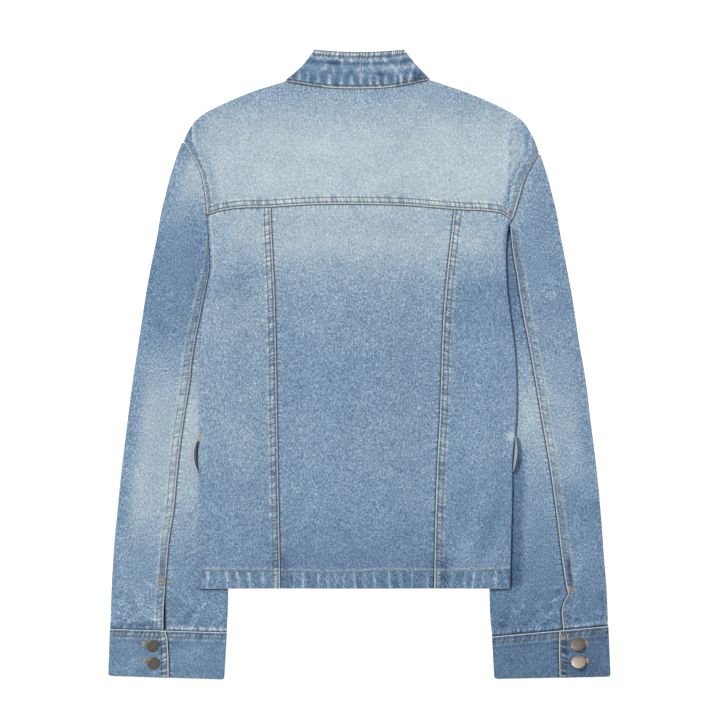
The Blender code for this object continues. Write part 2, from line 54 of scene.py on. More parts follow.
CLOTH = 0.9
FIRST_ROW, SECOND_ROW, SEAM_PITCH = 2.6, 8.0, 5.4
LOWER, UPPER, SLEEVE_RISE, SEAM_GAP, GAP = 0.6, 2.1, 3.0, 0.6, 0.3
ARMHOLE_SLANT = 0.94
FAR = 99.0
TOP_STEPS = (4.0, 2.6, 1.5, 0.7, 0.0)
YOKE_CORNER_Y = {"left": 178.0, "right": 174.0}

YOKE_SEAM = [
    # x, y
    (-186, 178.6), (-172, 183.4), (-155, 186.9), (-106, 189.4), (-51, 192.5), (4, 192.6),
    (59, 191.2), (112, 187), (134, 185.7), (146, 185.6), (157, 184.4), (169, 182.8),
    (174, 180.8), (179, 177), (188, 172),
]
SHOULDER = {
    # x, y
    "left": [
        (-210.6, 268), (-205.4, 279.3), (-199.4, 288.9), (-189.8, 298.5), (-173, 308.1),
        (-152.6, 317.7), (-128.6, 327.3), (-88.5, 339.8),
    ],
    "right": [
        (215.6, 254), (209.8, 269.7), (205, 279.3), (199, 288.9), (188.2, 298.5),
        (171.4, 308.1), (151, 317.7), (127, 327.3), (84.5, 341.6),
    ],
}
BACK_NECK = [(-88.5, 339.8), (-45.0, 333.4), (0.0, 331.7), (45.0, 334.2), (84.5, 341.6)]
NECK_CORNER = {"left": BACK_NECK[0], "right": BACK_NECK[-1]}
ARMHOLE = {
    # y, x
    "left": [
        (118.5, -178.2), (150, -180), (180, -182.4), (198.5, -184), (216, -186.8),
        (228, -189.5), (239, -194.1), (253.3, -202.2), (268, -210.6),
    ],
    "right": [
        (168, 179.6), (172, 182.2), (176, 184), (202.6, 192.5), (222.8, 198.5),
        (239.3, 206.8), (254, 215.6),
    ],
}
SLEEVE = {
    # y, outer fold, back seam, inner fold
    "left": [
        (-318, -298.5, -232.4, -159.4), (-268, -296.6, -232.5, -157.6),
        (-240, -295.2, -230.6, -158.6), (-211, -293.2, -228.1, -159.8),
        (-176, -289.8, -222.6, -161.5), (-122, -284.3, -217.4, -164.8),
        (-76, -278.6, -211.8, -167.8), (-18, -271.2, -202.8, -173),
        (6, -267.5, -200.3, -174.5), (30, -263.8, -196.6, -176),
        (55, -260, -191.4, -177), (78, -256.5, -187, -177),
        (97, -253.4, -182.8, -175), (116, -249.9, -179.2, -173),
    ],
    "right": [
        (-314, 298.2, 244.2, 159.8), (-284, 297, 243.9, 157.2), (-277.5, 296.8, 246.4, 157),
        (-272, 296.5, 250, 156.9), (-264, 296, 248.6, 156.7), (-234, 293.5, 243.8, 157.9),
        (-186, 290, 237.6, 160.2), (-124, 284.2, 229, 163.4), (-66, 277, 219.1, 166.8),
        (-17, 271, 210.9, 170), (24, 263.8, 203.6, 171.6), (60, 258.3, 196.4, 172),
        (84, 254.6, 192.4, 171), (108, 250.1, 189, 169), (132, 245.6, 184.7, 168),
        (165, 239.2, 181.2, 167),
    ],
}
OUTWARD = {"left": -1.0, "right": 1.0}
TUCK_TOP = {"left": 107.0, "right": 158.0}
UNDERARM = {"left": 118.5, "right": 168.0}


def mix(a, b, share):
    return a + (b - a) * share


def hump(value, half_width):
    """1 at zero, falling away to either side."""
    return np.exp(-((value / half_width) ** 2))


def smooth_step(start, end, value):
    share = np.clip((value - start) / (end - start), 0.0, 1.0)
    return share * share * (3 - 2 * share)


def smooth_drop(start, end, value):
    return 1 - smooth_step(start, end, value)


def along(rows, column=1):
    """A smooth curve through the rows of a table, as a function of the first column."""
    rows = sorted(rows)
    xs = np.array([row[0] for row in rows])
    ys = np.array([row[column] for row in rows])
    slopes = np.gradient(ys, xs)

    def value(x):
        k = np.clip(np.searchsorted(xs, x) - 1, 0, len(xs) - 2)
        span = xs[k + 1] - xs[k]
        t = np.clip((x - xs[k]) / span, 0.0, 1.0)
        start = (1 + 2 * t) * (1 - t) ** 2 * ys[k] + t * (1 - t) ** 2 * span * slopes[k]
        end = t * t * (3 - 2 * t) * ys[k + 1] + t * t * (t - 1) * span * slopes[k + 1]
        return start + end

    return value


yoke_seam_y = along(YOKE_SEAM)
back_neck_y = along(BACK_NECK)
shoulder_y = {side: along(SHOULDER[side]) for side in OUTWARD}
armhole_x = {side: along(ARMHOLE[side]) for side in OUTWARD}
inner_fold_x = {side: along(SLEEVE[side], 3) for side in OUTWARD}
yoke_corner_x = {side: armhole_x[side](YOKE_CORNER_Y[side]) for side in OUTWARD}
armhole_second = {
    # y, distance of the second row from the armhole's edge
    "left": along([(176.0, 6.0), (205.0, 6.4), (244.0, 7.6), (262.0, 10.0), (270.0, 10.2)]),
    "right": along([(168.0, 7.2), (192.0, 7.6), (212.0, 9.0), (236.0, 10.4), (254.0, 8.6)]),
}


def side_rise(x, y, run_in, run_out):
    """How far the body is lifted where a sleeve lies under its side, from 0 to 1."""
    lift = np.zeros(np.broadcast(x, y).shape)
    for side, out in OUTWARD.items():
        depth = out * (x - inner_fold_x[side](np.minimum(y, TUCK_TOP[side])))
        rise = smooth_step(-run_in, -run_out, depth)
        rise = rise * smooth_step(UNDERARM[side], TUCK_TOP[side], y)
        lift = np.where(out * x > 0, rise, lift)
    return lift


def back_z(x, y):
    """Height of the back's middle layer, over the fronts, the sleeves and the collar."""
    neck = smooth_step(236, 258, y) * smooth_drop(100, 140, abs(x))
    opening = smooth_drop(24, 80, abs(x))
    opening = opening * (1 - 0.5 * smooth_step(258, 300, y)) * smooth_drop(304, 328, y)
    return UPPER + 0.9 * neck + 3.9 * opening + SLEEVE_RISE * side_rise(x, y, 52, 12)


def edge_steps(first=FIRST_ROW, second=SECOND_ROW):
    """Distances from a sewn edge that carry its roll, its two rows and the cloth between."""
    between = [mix(first, second, share) for share in (0.12, 0.3, 0.5, 0.7, 0.88)]
    beyond = [second + step for step in (0.9, 2.1, 3.4, 5.0)]
    return [0.0, 0.5, 1.1, 1.7, first, *between, second, *beyond]


def steps_between(start, end, size):
    """Even shares of a stretch, in steps of about one size, without its two ends."""
    count = max(int(round(abs(end - start) / size)), 1)
    return np.arange(1, count) / count


def ripple(run, wave=8.0):
    """Uneven puckers along a seam, from -1 to 1."""
    turn = 2 * np.pi * run / wave
    drift = 1.2 * np.sin(turn / 3.7 + 0.6) + 0.8 * np.sin(turn / 7.3 + 2.1)
    swell = 0.65 + 0.35 * np.sin(turn / 5.3 + 1.7)
    return swell * np.sin(turn + drift)


def fresh_cloth(x, y, z, wash_and_shade):
    """Cloth with no seams yet: its points, its tone, to which painted shade is added later, and its
    distances to sewn edges.
    """
    far, none = np.full(x.shape, FAR), np.zeros(x.shape)
    cloth = {"x": x, "y": y, "z": z, "wash_and_shade": wash_and_shade + none, "rope": none, "crackle": none}
    return cloth | {"rim": far, "ditch": far, "row": far, "run": y / SEAM_PITCH, "edge": far}


def nearer(cloth, distance, run):
    cloth["run"] = np.where(distance < cloth["edge"], run, cloth["run"])
    cloth["edge"] = np.minimum(distance, cloth["edge"])


def felled_edge(cloth, distance, along_edge, rows=(FIRST_ROW, SECOND_ROW), roping=0.6,
                pitch=SEAM_PITCH, cream=0.0, fade=0.22, faint=0.0, puff=0.45):
    """The cloth's folded edge lies on its neighbour, sewn down with rows of stitches.

    Its marks are a pitch apart, its worn rim is narrower by cream, its rows and the painted shade
    in their grooves are as shallow as faint, and the cloth fades past the last row.
    """
    nearer(cloth, distance, along_edge / pitch)
    cloth["rim"] = np.minimum(distance + cream, cloth["rim"])
    for row in rows:
        cloth["row"] = np.minimum(abs(distance - row) + faint, cloth["row"])
    band = smooth_drop(rows[-1] + 0.2, rows[-1] + 2.4, distance)
    between = smooth_step(rows[0], rows[0] + 2, distance)
    between = between * smooth_drop(rows[-1] - 2, rows[-1], distance)
    cloth["z"] += puff * band - 0.35 * smooth_drop(0, 1.3, distance)
    cloth["z"] += 0.24 * roping * between * ripple(along_edge, 1.6 * pitch)
    past = hump(distance - rows[-1] - 2.2, 1.5)
    cloth["wash_and_shade"] += fade * past * smooth_drop(0.6, 0.95, cloth["wash_and_shade"])
    cloth["rope"] = np.maximum(cloth["rope"], roping * band)
    cloth["rope"] = np.maximum(cloth["rope"], 0.6 * roping * past)


def tucked_edge(cloth, distance, along_edge, roping=0.4, pitch=SEAM_PITCH):
    """The cloth goes under its neighbour's folded edge, dipping beside it; the shader darkens it
    there as painted shadow.
    """
    nearer(cloth, distance, along_edge / pitch)
    cloth["ditch"] = np.minimum(distance, cloth["ditch"])
    cloth["z"] -= 0.4 * smooth_drop(0.2, 2.6, distance)
    cloth["rope"] = np.maximum(cloth["rope"], roping * smooth_drop(3, 8, distance))


def crease(cloth, x0, y0, x1, y1, half_width, height, wash_and_shade=0.0):
    """A soft ridge or trough between two places, fading out towards both. Where the crease is a
    fold, its change of tone is painted light along a ridge and painted shade along a trough; where
    it is a narrow pale line, it is wear.
    """
    dx, dy = x1 - x0, y1 - y0
    share = ((cloth["x"] - x0) * dx + (cloth["y"] - y0) * dy) / (dx * dx + dy * dy)
    away = abs((cloth["x"] - x0) * dy - (cloth["y"] - y0) * dx) / math.hypot(dx, dy)
    shape = hump(away, half_width)
    shape *= smooth_step(-0.15, 0.3, share) * smooth_drop(0.7, 1.15, share)
    cloth["z"] += height * shape
    cloth["wash_and_shade"] += wash_and_shade * shape


def patch(cloth, x, y, reach_x, reach_y, change):
    """A soft oval where the wash is paler or darker."""
    oval = ((cloth["x"] - x) / reach_x) ** 2 + ((cloth["y"] - y) / reach_y) ** 2
    cloth["wash_and_shade"] += change * np.exp(-oval)


def mark(cloth, patches=(), creases=()):
    """Add the ovals and the creases of two tables."""
    for row in patches:
        patch(cloth, *row)
    for row in creases:
        crease(cloth, *row)


def node(tree, kind, inputs=(), **settings):
    """A shader node with its settings, its values and its links."""
    made = tree.nodes.new("ShaderNode" + kind)
    for name, value in settings.items():
        setattr(made, name, value)
    for socket, value in dict(inputs).items():
        if isinstance(value, bpy.types.NodeSocket):
            tree.links.new(value, made.inputs[socket])
        else:
            made.inputs[socket].default_value = value
    return made


def maths(tree, operation, *values, clamp=False):
    made = node(tree, "Math", enumerate(values), operation=operation, use_clamp=clamp)
    return made.outputs[0]


def faded(tree, value, start, end, low=1.0, high=0.0):
    """A value that goes smoothly from low to high between two distances."""
    inputs = {"Value": value, "From Min": start, "From Max": end, "To Min": low, "To Max": high}
    made = node(tree, "MapRange", inputs, interpolation_type="SMOOTHSTEP")
    return made.outputs["Result"]


def linear(red, green, blue):
    """A colour as its eye values from 0 to 255, made linear."""
    parts = [value / 255 for value in (red, green, blue)]
    return tuple(p / 12.92 if p <= 0.04045 else ((p + 0.055) / 1.055) ** 2.4 for p in parts)


def blend_colour(tree, share, first, second):
    inputs = {"Factor": share}
    made = node(tree, "Mix", inputs, data_type="RGBA", clamp_factor=True)
    for socket, colour in (("A_Color", first), ("B_Color", second)):
        target = next(s for s in made.inputs if s.identifier == socket)
        if isinstance(colour, bpy.types.NodeSocket):
            tree.links.new(colour, target)
        else:
            target.default_value = (*linear(*colour), 1.0)
    return next(s for s in made.outputs if s.identifier == "Result_Color")


INDIGO_WASH = [
    # wash, red, green, blue
    (-0.6, 34, 52, 84), (-0.3, 58, 82, 116), (0, 84, 109, 136), (0.33, 104, 132, 161),
    (0.6, 131, 156, 180), (1, 186, 201, 208), (1.3, 220, 226, 224),
]
TWILL_PITCH = 0.00072


def washed_group():
    """The look of washed indigo cloth, from the tone and the seams that its mesh carries, with
    painted shade in the stitch grooves and painted shadow beside folded edges.
    """
    group = bpy.data.node_groups.new("washed_indigo", "ShaderNodeTree")
    for name in ("Mottling", "Blots", "Grain", "Roping"):
        socket = group.interface.new_socket(name, in_out="INPUT", socket_type="NodeSocketFloat")
        socket.default_value = 1.0
    group.interface.new_socket("Color", in_out="OUTPUT", socket_type="NodeSocketColor")
    group.interface.new_socket("Height", in_out="OUTPUT", socket_type="NodeSocketFloat")
    given = group.nodes.new("NodeGroupInput").outputs

    def attribute(name):
        return node(group, "Attribute", attribute_name=name).outputs["Vector"]

    def noise(vector, scale, detail, rough=0.5):
        inputs = {"Vector": vector, "Scale": scale, "Detail": detail, "Roughness": rough}
        value = node(group, "TexNoise", inputs).outputs["Fac"]
        return maths(group, "SUBTRACT", value, 0.5)

    def add(total, *values):
        for value in values:
            total = maths(group, "ADD", total, value)
        return total

    def times(product, *values):
        for value in values:
            product = maths(group, "MULTIPLY", product, value)
        return product

    wear_and_shade = node(group, "SeparateXYZ", {0: attribute("wear_and_shade")}).outputs
    seam = node(group, "SeparateXYZ", {0: attribute("seam")}).outputs
    wash_and_shade, rope, row = wear_and_shade[0], wear_and_shade[1], wear_and_shade[2]
    rim, ditch, run = seam[0], seam[1], seam[2]
    crackle = node(group, "Attribute", attribute_name="crackle").outputs["Fac"]
    place = node(group, "TexCoord").outputs["Object"]
    weave = node(group, "UVMap", uv_map="cut").outputs["UV"]

    # Salt-and-pepper grain of the slubby yarns, and the cloudiness of the wash
    slub_place = node(group, "Mapping", {"Vector": place, "Scale": (1.0, 0.42, 1.0)})
    salt = noise(place, 560.0, 1.0)
    slub = noise(slub_place.outputs[0], 800.0, 2.0)
    cloud = noise(place, 38.0, 3.0, 0.6)
    contrast = times(given["Grain"], faded(group, wash_and_shade, 0.5, 0.95, 1.55, 0.8))
    grain = times(contrast, add(times(salt, 0.8), times(slub, 0.9)))
    mottle = times(given["Mottling"], cloud, 0.34)
    blots = times(given["Blots"], noise(place, 125.0, 2.0))

    # Roping: light and dark marks across the sewn edges
    slant = {0: add(times(run, 2.0), times(rim, 0.1)), 1: times(rim, 0.04)}
    slant = node(group, "CombineXYZ", slant).outputs[0]
    marks = faded(group, noise(slant, 1.0, 1.0), -0.14, 0.14, -1.0, 1.0)
    roping = times(given["Roping"], rope, marks, 0.48)

    # Crackle: thin pale veins and darker blots in the creased cloth by the cuffs
    veins = faded(group, maths(group, "ABSOLUTE", noise(place, 52.0, 2.0)), 0.0, 0.045)
    pools = faded(group, noise(place, 95.0, 1.0), 0.08, 0.2, 0.0, 1.0)
    creased = times(crackle, add(times(veins, 0.26), times(pools, -0.26)))
    shade = add(wash_and_shade, times(grain, 0.5), mottle, blots, roping, creased)

    low, high = INDIGO_WASH[0][0], INDIGO_WASH[-1][0]
    span = node(group, "MapRange", {"Value": shade, "From Min": low, "From Max": high})
    ramp = node(group, "ValToRGB", {0: span.outputs[0]})
    stops = ramp.color_ramp.elements
    while len(stops) < len(INDIGO_WASH):
        stops.new(0.5)
    for stop, (wash_value, *colour) in zip(stops, INDIGO_WASH):
        stop.position = (wash_value - low) / (high - low)
        stop.color = (*linear(*colour), 1.0)

    # Painted shade in the grooves under the stitches and painted shadow beside the folded edges,
    # and cream where a fold is worn
    uneven = noise(place, 260.0, 2.0)
    # Painted shade along the rows of stitches
    groove = times(faded(group, row, 0.35, 1.25), 0.46)
    speckled = {"Vector": ramp.outputs["Color"], "Scale": add(times(grain, 0.7), 1.0)}
    speckled = node(group, "VectorMath", speckled, operation="SCALE").outputs["Vector"]
    cast = {"Vector": place, "Scale": 330.0, "Detail": 3.0}
    cast = node(group, "TexNoise", cast).outputs["Color"]
    cast = {0: cast, 1: (0.26, 0.26, 0.26), 2: (0.87, 0.87, 0.87)}
    cast = node(group, "VectorMath", cast, operation="MULTIPLY_ADD").outputs["Vector"]
    tinted = node(group, "VectorMath", {0: speckled, 1: cast}, operation="MULTIPLY")
    colour = blend_colour(group, groove, tinted.outputs["Vector"], (62, 66, 76))
    # Painted shadow where the cloth goes under a neighbour's folded edge
    dark = times(faded(group, ditch, 0.8, 2.5), 0.8)
    colour = blend_colour(group, dark, colour, (34, 50, 78))
    worn = faded(group, add(rim, uneven), 0.75, 1.3)
    colour = blend_colour(group, times(worn, 0.8), colour, (206, 208, 198))

    # Right-hand twill, the raised grain and the pressed grooves
    lines = node(group, "SeparateXYZ", {0: weave}).outputs
    diagonal = times(add(lines[0], times(lines[1], 0.62)), 2 * math.pi / TWILL_PITCH)
    twill = times(maths(group, "SINE", diagonal), 0.16)
    height = add(twill, times(slub, 0.9), times(salt, 0.5), times(groove, -0.9))
    out = group.nodes.new("NodeGroupOutput")
    group.links.new(colour, out.inputs["Color"])
    group.links.new(height, out.inputs["Height"])
    return group


WASHED_INDIGO = washed_group()


def finish(name, values):
    """A material with its shader's own values, and with it its tree and its shader."""
    material = bpy.data.materials.new(name)
    material.use_nodes = True
    shader = material.node_tree.nodes["Principled BSDF"]
    for socket, value in values.items():
        shader.inputs[socket].default_value = value
    return material, material.node_tree, shader


def roughen(tree, shader, height, strength, distance):
    inputs = {"Height": height, "Strength": strength, "Distance": distance}
    bump = node(tree, "Bump", inputs)
    tree.links.new(bump.outputs["Normal"], shader.inputs["Normal"])


def speckle(tree, scale, detail):
    """Fine noise in the jacket's own space."""
    place = node(tree, "TexCoord").outputs["Object"]
    inputs = {"Vector": place, "Scale": scale, "Detail": detail}
    return node(tree, "TexNoise", inputs).outputs["Fac"]


def denim(name, mottling, blots, grain, roping):
    values = {"Roughness": 0.92, "Specular IOR Level": 0.18}
    values |= {"Sheen Weight": 0.12, "Sheen Roughness": 0.6}
    material, tree, shader = finish(name, values)
    look = node(tree, "Group", node_tree=WASHED_INDIGO)
    for socket, value in zip(look.inputs, (mottling, blots, grain, roping)):
        socket.default_value = value
    tree.links.new(look.outputs["Color"], shader.inputs["Base Color"])
    roughen(tree, shader, look.outputs["Height"], 0.45, 0.00035)
    return material


def reverse_side():
    """The wrong side of the cloth, where the undyed weft shows, darkened by painted shadow near the
    edges above it.
    """
    values = {"Roughness": 0.95, "Specular IOR Level": 0.15}
    material, tree, shader = finish("denim wrong side", values)
    flecks = speckle(tree, 900.0, 2.0)
    share = maths(tree, "MULTIPLY_ADD", flecks, 3.0, -1.1, clamp=True)
    colour = blend_colour(tree, share, (186, 192, 192), (120, 136, 156))
    # Painted shadow: darker near the edges of the cloth above
    seam = node(tree, "Attribute", attribute_name="seam").outputs["Vector"]
    ditch = node(tree, "SeparateXYZ", {0: seam}).outputs[1]
    colour = blend_colour(tree, faded(tree, ditch, 2.0, 7.0), colour, (44, 58, 84))
    tree.links.new(colour, shader.inputs["Base Color"])
    roughen(tree, shader, flecks, 0.4, 0.0003)
    return material


BODY_DENIM = denim("washed denim", 0.8, 0.1, 1.0, 1.0)
WRONG_SIDE = reverse_side()


def piece_of(name, mesh, *materials):
    """Put a mesh in the scene as a piece that rides on the jacket's one body."""
    mesh.shade_smooth()
    for material in materials:
        mesh.materials.append(material)
    piece = bpy.data.objects.new(name, mesh)
    bpy.context.scene.collection.objects.link(piece)
    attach(piece, "root")
    return piece


def lay(name, cloth, solid, wall=CLOTH, material=BODY_DENIM, face_down=False):
    """Make a panel from its grid of points, give it a wall, and let it stand for its solid."""
    rows, columns = cloth["x"].shape
    grid = bmesh.new()
    bmesh.ops.create_grid(grid, x_segments=columns - 1, y_segments=rows - 1, size=1.0)
    mesh = bpy.data.meshes.new(name)
    grid.to_mesh(mesh)
    grid.free()
    plain = np.empty(len(mesh.vertices) * 3)
    mesh.vertices.foreach_get("co", plain)
    plain = (plain.reshape(-1, 3) + 1) / 2
    column = np.rint(plain[:, 0] * (columns - 1)).astype(int)
    row = np.rint(plain[:, 1] * (rows - 1)).astype(int)

    def at_points(*names):
        return np.stack([cloth[key][row, column] for key in names], axis=1)

    mesh.vertices.foreach_set("co", (at_points("x", "y", "z") * MM).ravel())
    # The first vector holds the tone with its painted shade, the roping, and the distance to the
    # rows, which the shader paints as groove shade; the second holds the worn rim, the distance
    # painted as shadow beside an edge above, and the run along the seam
    for label, names in (("wear_and_shade", ("wash_and_shade", "rope", "row")), ("seam", ("rim", "ditch", "run"))):
        kept = mesh.attributes.new(label, "FLOAT_VECTOR", "POINT")
        kept.data.foreach_set("vector", at_points(*names).ravel())
    kept = mesh.attributes.new("crackle", "FLOAT", "POINT")
    kept.data.foreach_set("value", at_points("crackle").ravel())
    across = np.hypot(np.diff(cloth["x"], axis=1), np.diff(cloth["z"], axis=1))
    across = np.concatenate([np.zeros((rows, 1)), np.cumsum(across, axis=1)], axis=1)
    across += cloth["x"][:, :1] - cloth["x"][:, :1].mean()
    corner = np.empty(len(mesh.loops), dtype=int)
    mesh.loops.foreach_get("vertex_index", corner)
    flat = np.stack([across[row, column], cloth["y"][row, column]], axis=1)[corner] * MM
    mesh.uv_layers.new(name="cut").data.foreach_set("uv", flat.ravel())
    mesh.update()
    panel = piece_of(name, mesh, *[material, WRONG_SIDE][:: -1 if face_down else 1])
    layers = panel.modifiers.new("wall", "SOLIDIFY")
    layers.thickness = wall * MM
    layers.offset = 0.0
    layers.material_offset = 1
    layers.material_offset_rim = 1 if face_down else 0
    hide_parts(solid)
    return panel


BACK_WASH = [
    # y, wash
    (-268, 0.28), (-234, 0.33), (-186, 0.45), (-102, 0.53), (-42, 0.52), (-18, 0.50),
    (30, 0.54), (60, 0.58), (85, 0.60), (102, 0.66), (125, 0.76), (150, 0.85),
    (168, 0.80), (186, 0.86), (257, 0.95), (300, 0.80), (330, 0.65),
]
back_wash = along(BACK_WASH)


def body_wash(x, y):
    """Pale over the shoulder blades, bluer low down, by the sides and at the shoulder tips."""
    wash_and_shade = back_wash(y) - 0.08 * smooth_step(100, 150, abs(x)) * smooth_step(60, 150, y)
    left, right = smooth_step(-95, -130, x), smooth_step(95, 130, x)
    wash_and_shade = wash_and_shade + 0.1 * left * smooth_drop(60, 110, y)
    wash_and_shade = wash_and_shade - 0.16 * right * smooth_step(20, 60, y) * smooth_drop(90, 150, y)
    wash_and_shade = wash_and_shade - 0.1 * (left + right) * hump(y + 160, 40)
    wash_and_shade = wash_and_shade + 0.1 * right * smooth_drop(-255, -200, y)
    tip = smooth_step(150, 215, abs(x)) * smooth_step(215, 290, y)
    return wash_and_shade - 0.12 * tip


ARMHOLE_LOOK = {
    # how much darker the cloth is beside the armhole (on the right, painted shade of the cloth
    # tucked into a fold there), from and to where, the rim's roping and cream, how shallow its rows
    # and their painted groove shade are, the shade between them, the pale ridge on the second one
    "left": (0.22, 6.0, 22.0, 0.2, 0.0, 0.65, 0.18, 0.60),
    "right": (0.30, 13.0, 19.0, 0.25, -0.7, 0.5, 0.06, 0.46),
}
YOKE_PATCHES = [
    # x, y, reach x, reach y, change of the wash
    (-150, 216, 34, 34, 0.06), (146, 216, 34, 40, 0.11), (160, 290, 34, 34, 0.10),
    (-160, 290, 34, 34, 0.07),
]
YOKE_CREASES = [
    # x, y, to x, to y, half width, height, wash as painted light on a ridge and painted shade in a
    # trough: the tuck of cloth inside the right armhole
    (186, 284, 179.6, 232, 5, 0.9, 0.10), (179.8, 246, 180.4, 192, 4.5, 0.8, 0.06),
    (193, 280, 187, 226, 4, -0.7, -0.12), (183, 286, 178.6, 190, 1.5, -0.4, -0.34),
    (186, 330, 176, 262, 6, 0.4, 0.10), (-150, 300, -96, 262, 14, 0.7, 0.03),
    (60, 322, 120, 270, 16, 0.6, 0.02), (-60, 215, 40, 224, 18, -0.5, 0),
]


def build_yoke():
    tips = [SHOULDER[side][0] for side in OUTWARD]
    neck_left, neck_right = (NECK_CORNER[side][0] for side in OUTWARD)
    near = edge_steps()
    step = 2.4

    def columns(left, right):
        """The xs of a row from one armhole to the other, through the two neck corners."""
        inner_left, inner_right = left + near[-1], right - near[-1]
        line = [left + a for a in near]
        line += [mix(inner_left, neck_left, s) for s in steps_between(-170, neck_left, step)]
        line += [neck_left + 0 * left]
        line += [mix(neck_left, neck_right, s) + 0 * left for s in steps_between(0, 173, step)]
        line += [neck_right + 0 * left]
        line += [mix(neck_right, inner_right, s) for s in steps_between(neck_right, 172, step)]
        return np.stack(line + [right - a for a in reversed(near)], axis=-1)

    at_seam = columns(*(yoke_corner_x[side] for side in OUTWARD))
    at_top = columns(*(np.float64(tip[0]) for tip in tips))
    low = yoke_seam_y(at_seam)
    high = np.where(at_top < neck_left, shoulder_y["left"](at_top), back_neck_y(at_top))
    high = np.where(at_top > neck_right, shoulder_y["right"](at_top), high)
    rows = [low + a for a in near]
    middle = steps_between(near[-1], 130, step)
    rows += [mix(low + near[-1], high - TOP_STEPS[0], s) for s in middle]
    rows += [high - b for b in TOP_STEPS]
    y = np.stack(rows)
    share = (y - low) / (high - low)
    left = armhole_x["left"](mix(low[0], tips[0][1], share[:, 0]))
    right = armhole_x["right"](mix(low[-1], tips[1][1], share[:, -1]))
    x = columns(left, right)
    cloth = fresh_cloth(x, y, back_z(x, y), body_wash(x, y))
    felled_edge(cloth, y - yoke_seam_y(x), x, pitch=5.0)
    for side, out in OUTWARD.items():
        shade, start, end, roping, cream, faint, strip_shade, ridge = ARMHOLE_LOOK[side]
        beside = out * (armhole_x[side](y) - x) * ARMHOLE_SLANT
        beside = np.where(out * x > 100, beside, FAR)
        # Darker beside the armhole; on the right, painted shade of the cloth tucked into a fold
        # there
        cloth["wash_and_shade"] -= shade * smooth_drop(start, end, beside)
        cream = cream * smooth_drop(205, 225, y)
        second = armhole_second[side](y)
        felled_edge(
            cloth, beside, y, (FIRST_ROW, second), roping, cream=cream, fade=0.1, faint=faint
        )
        strip = smooth_step(2.0, 3.2, beside)
        strip = strip * smooth_drop(second - 1.4, second - 0.5, beside)
        cloth["wash_and_shade"] += ridge * hump(beside - second, 0.8) - strip_shade * strip
    neck = np.where((x > neck_left) & (x < neck_right), back_neck_y(x) - y, FAR)
    # Painted shadow on the yoke under the collar's foot
    tucked_edge(cloth, neck, x, roping=0.3)
    mark(cloth, YOKE_PATCHES, YOKE_CREASES)
    return lay("yoke_cloth", cloth, "back_yoke")


yoke = build_yoke()

# ---------------------------------------------------------------------------------------------
# Back panels: a centre and two sides of the same denim, from the yoke to a turned hem. The side
# panels are felled over the centre one, and their outer edges lie over the tucked sleeves.

HEM_Y, HEM_DEPTH, HEM_PITCH = -268.4, 21.0, 9.0
HEM_STEPS = (0.0, 0.5, 1.2, 2.2, 3.6, 5.4, 7.6, 10.0, 12.4, 14.8, 17.2, 19.4)
HEM_STEPS += (HEM_DEPTH, HEM_DEPTH + 1.2, HEM_DEPTH + 2.8)
TUCK_STEPS = (0.0, 0.5, 1.2, 2.2, 3.6, 5.4, 7.4)
HEM_ROW = [
    # x, y
    (-191, -246.8), (-100, -247.6), (-45, -248.8), (0, -248.2), (37, -246.8), (60, -247.3),
    (97, -247.5), (130, -247), (182, -245.2),
]
HEM_BARS = [
    # x, lean to the right towards the foot, half width, change of the wash
    (-181.8, 0.3, 1.8, 0.493), (-158.5, 0.2, 1.56, 0.435), (-145.4, 4.2, 1.68, 0.435),
    (-131.6, 2.4, 1.56, 0.406), (-115.8, 0.4, 2.4, 0.348), (-77.9, -0.4, 1.8, 0.435),
    (-67.7, 1.2, 1.92, 0.551), (-49.1, 0, 1.56, 0.58), (-37.7, 0.3, 2.04, 0.377),
    (-28.3, 0.6, 2.16, 0.261), (-18.4, 0.3, 1.56, 0.493), (-5.8, 2.2, 1.56, 0.609),
    (7.7, -0.4, 2.64, 0.29), (18.2, 1.2, 1.68, 0.551), (36.2, 1.4, 1.8, 0.58),
    (50.2, 0.6, 2.16, 0.319), (63.1, -0.6, 1.68, 0.493), (81.9, -0.5, 1.8, 0.435),
    (111.1, 0.2, 1.8, 0.319), (126.8, 0, 1.92, 0.435), (136.8, -4, 1.68, 0.493),
    (148, -1.6, 1.8, 0.435), (163.6, -0.4, 1.92, 0.493),
]
BODY = [
    # y, left edge, left panel seam, right panel seam, right edge
    (-268.4, -191, -94.7, 90, 181), (-200, -191.9, -95.9, 91, 182.6),
    (-150, -192.2, -96.9, 92.5, 183.8), (-115, -193, -97.6, 93.9, 183.9),
    (-66, -192.2, -98.4, 96.6, 188.5), (-17, -191.4, -99.2, 98.4, 188.9),
    (27, -189.8, -99.9, 99.7, 185.9), (63, -187.4, -100.8, 101.6, 181),
    (97, -181.6, -101.9, 104.2, 177.2), (118.5, -178.2, -103, 106.4, 176.4),
    (140, -179.2, -104.1, 108.8, 176.5), (168, -181.2, -105.4, 112.1, 179.6),
    (195, -183, -106.3, 115, 188.6),
]
BLUE_SPOTS = [
    # x, y, reach x, reach y, change of the wash: beside the seams above the hem
    (-89, -240, 6, 13, -0.34), (-103, -236, 4, 14, -0.22), (101, -240, 7, 11, -0.34),
    (86, -242, 5, 10, -0.20), (101, -257, 5, 10, -0.25), (-79, -256, 5, 9, -0.2),
    (-140, 108, 34, 16, -0.10), (-143, 168, 26, 14, 0.08), (139, -228, 22, 15, 0.08),
    (145, 78, 26, 18, -0.04), (140, 108, 30, 16, 0.06), (182.5, -86, 6.5, 4.5, 0.55),
    (-189, -88, 5, 5, 0.12),
]
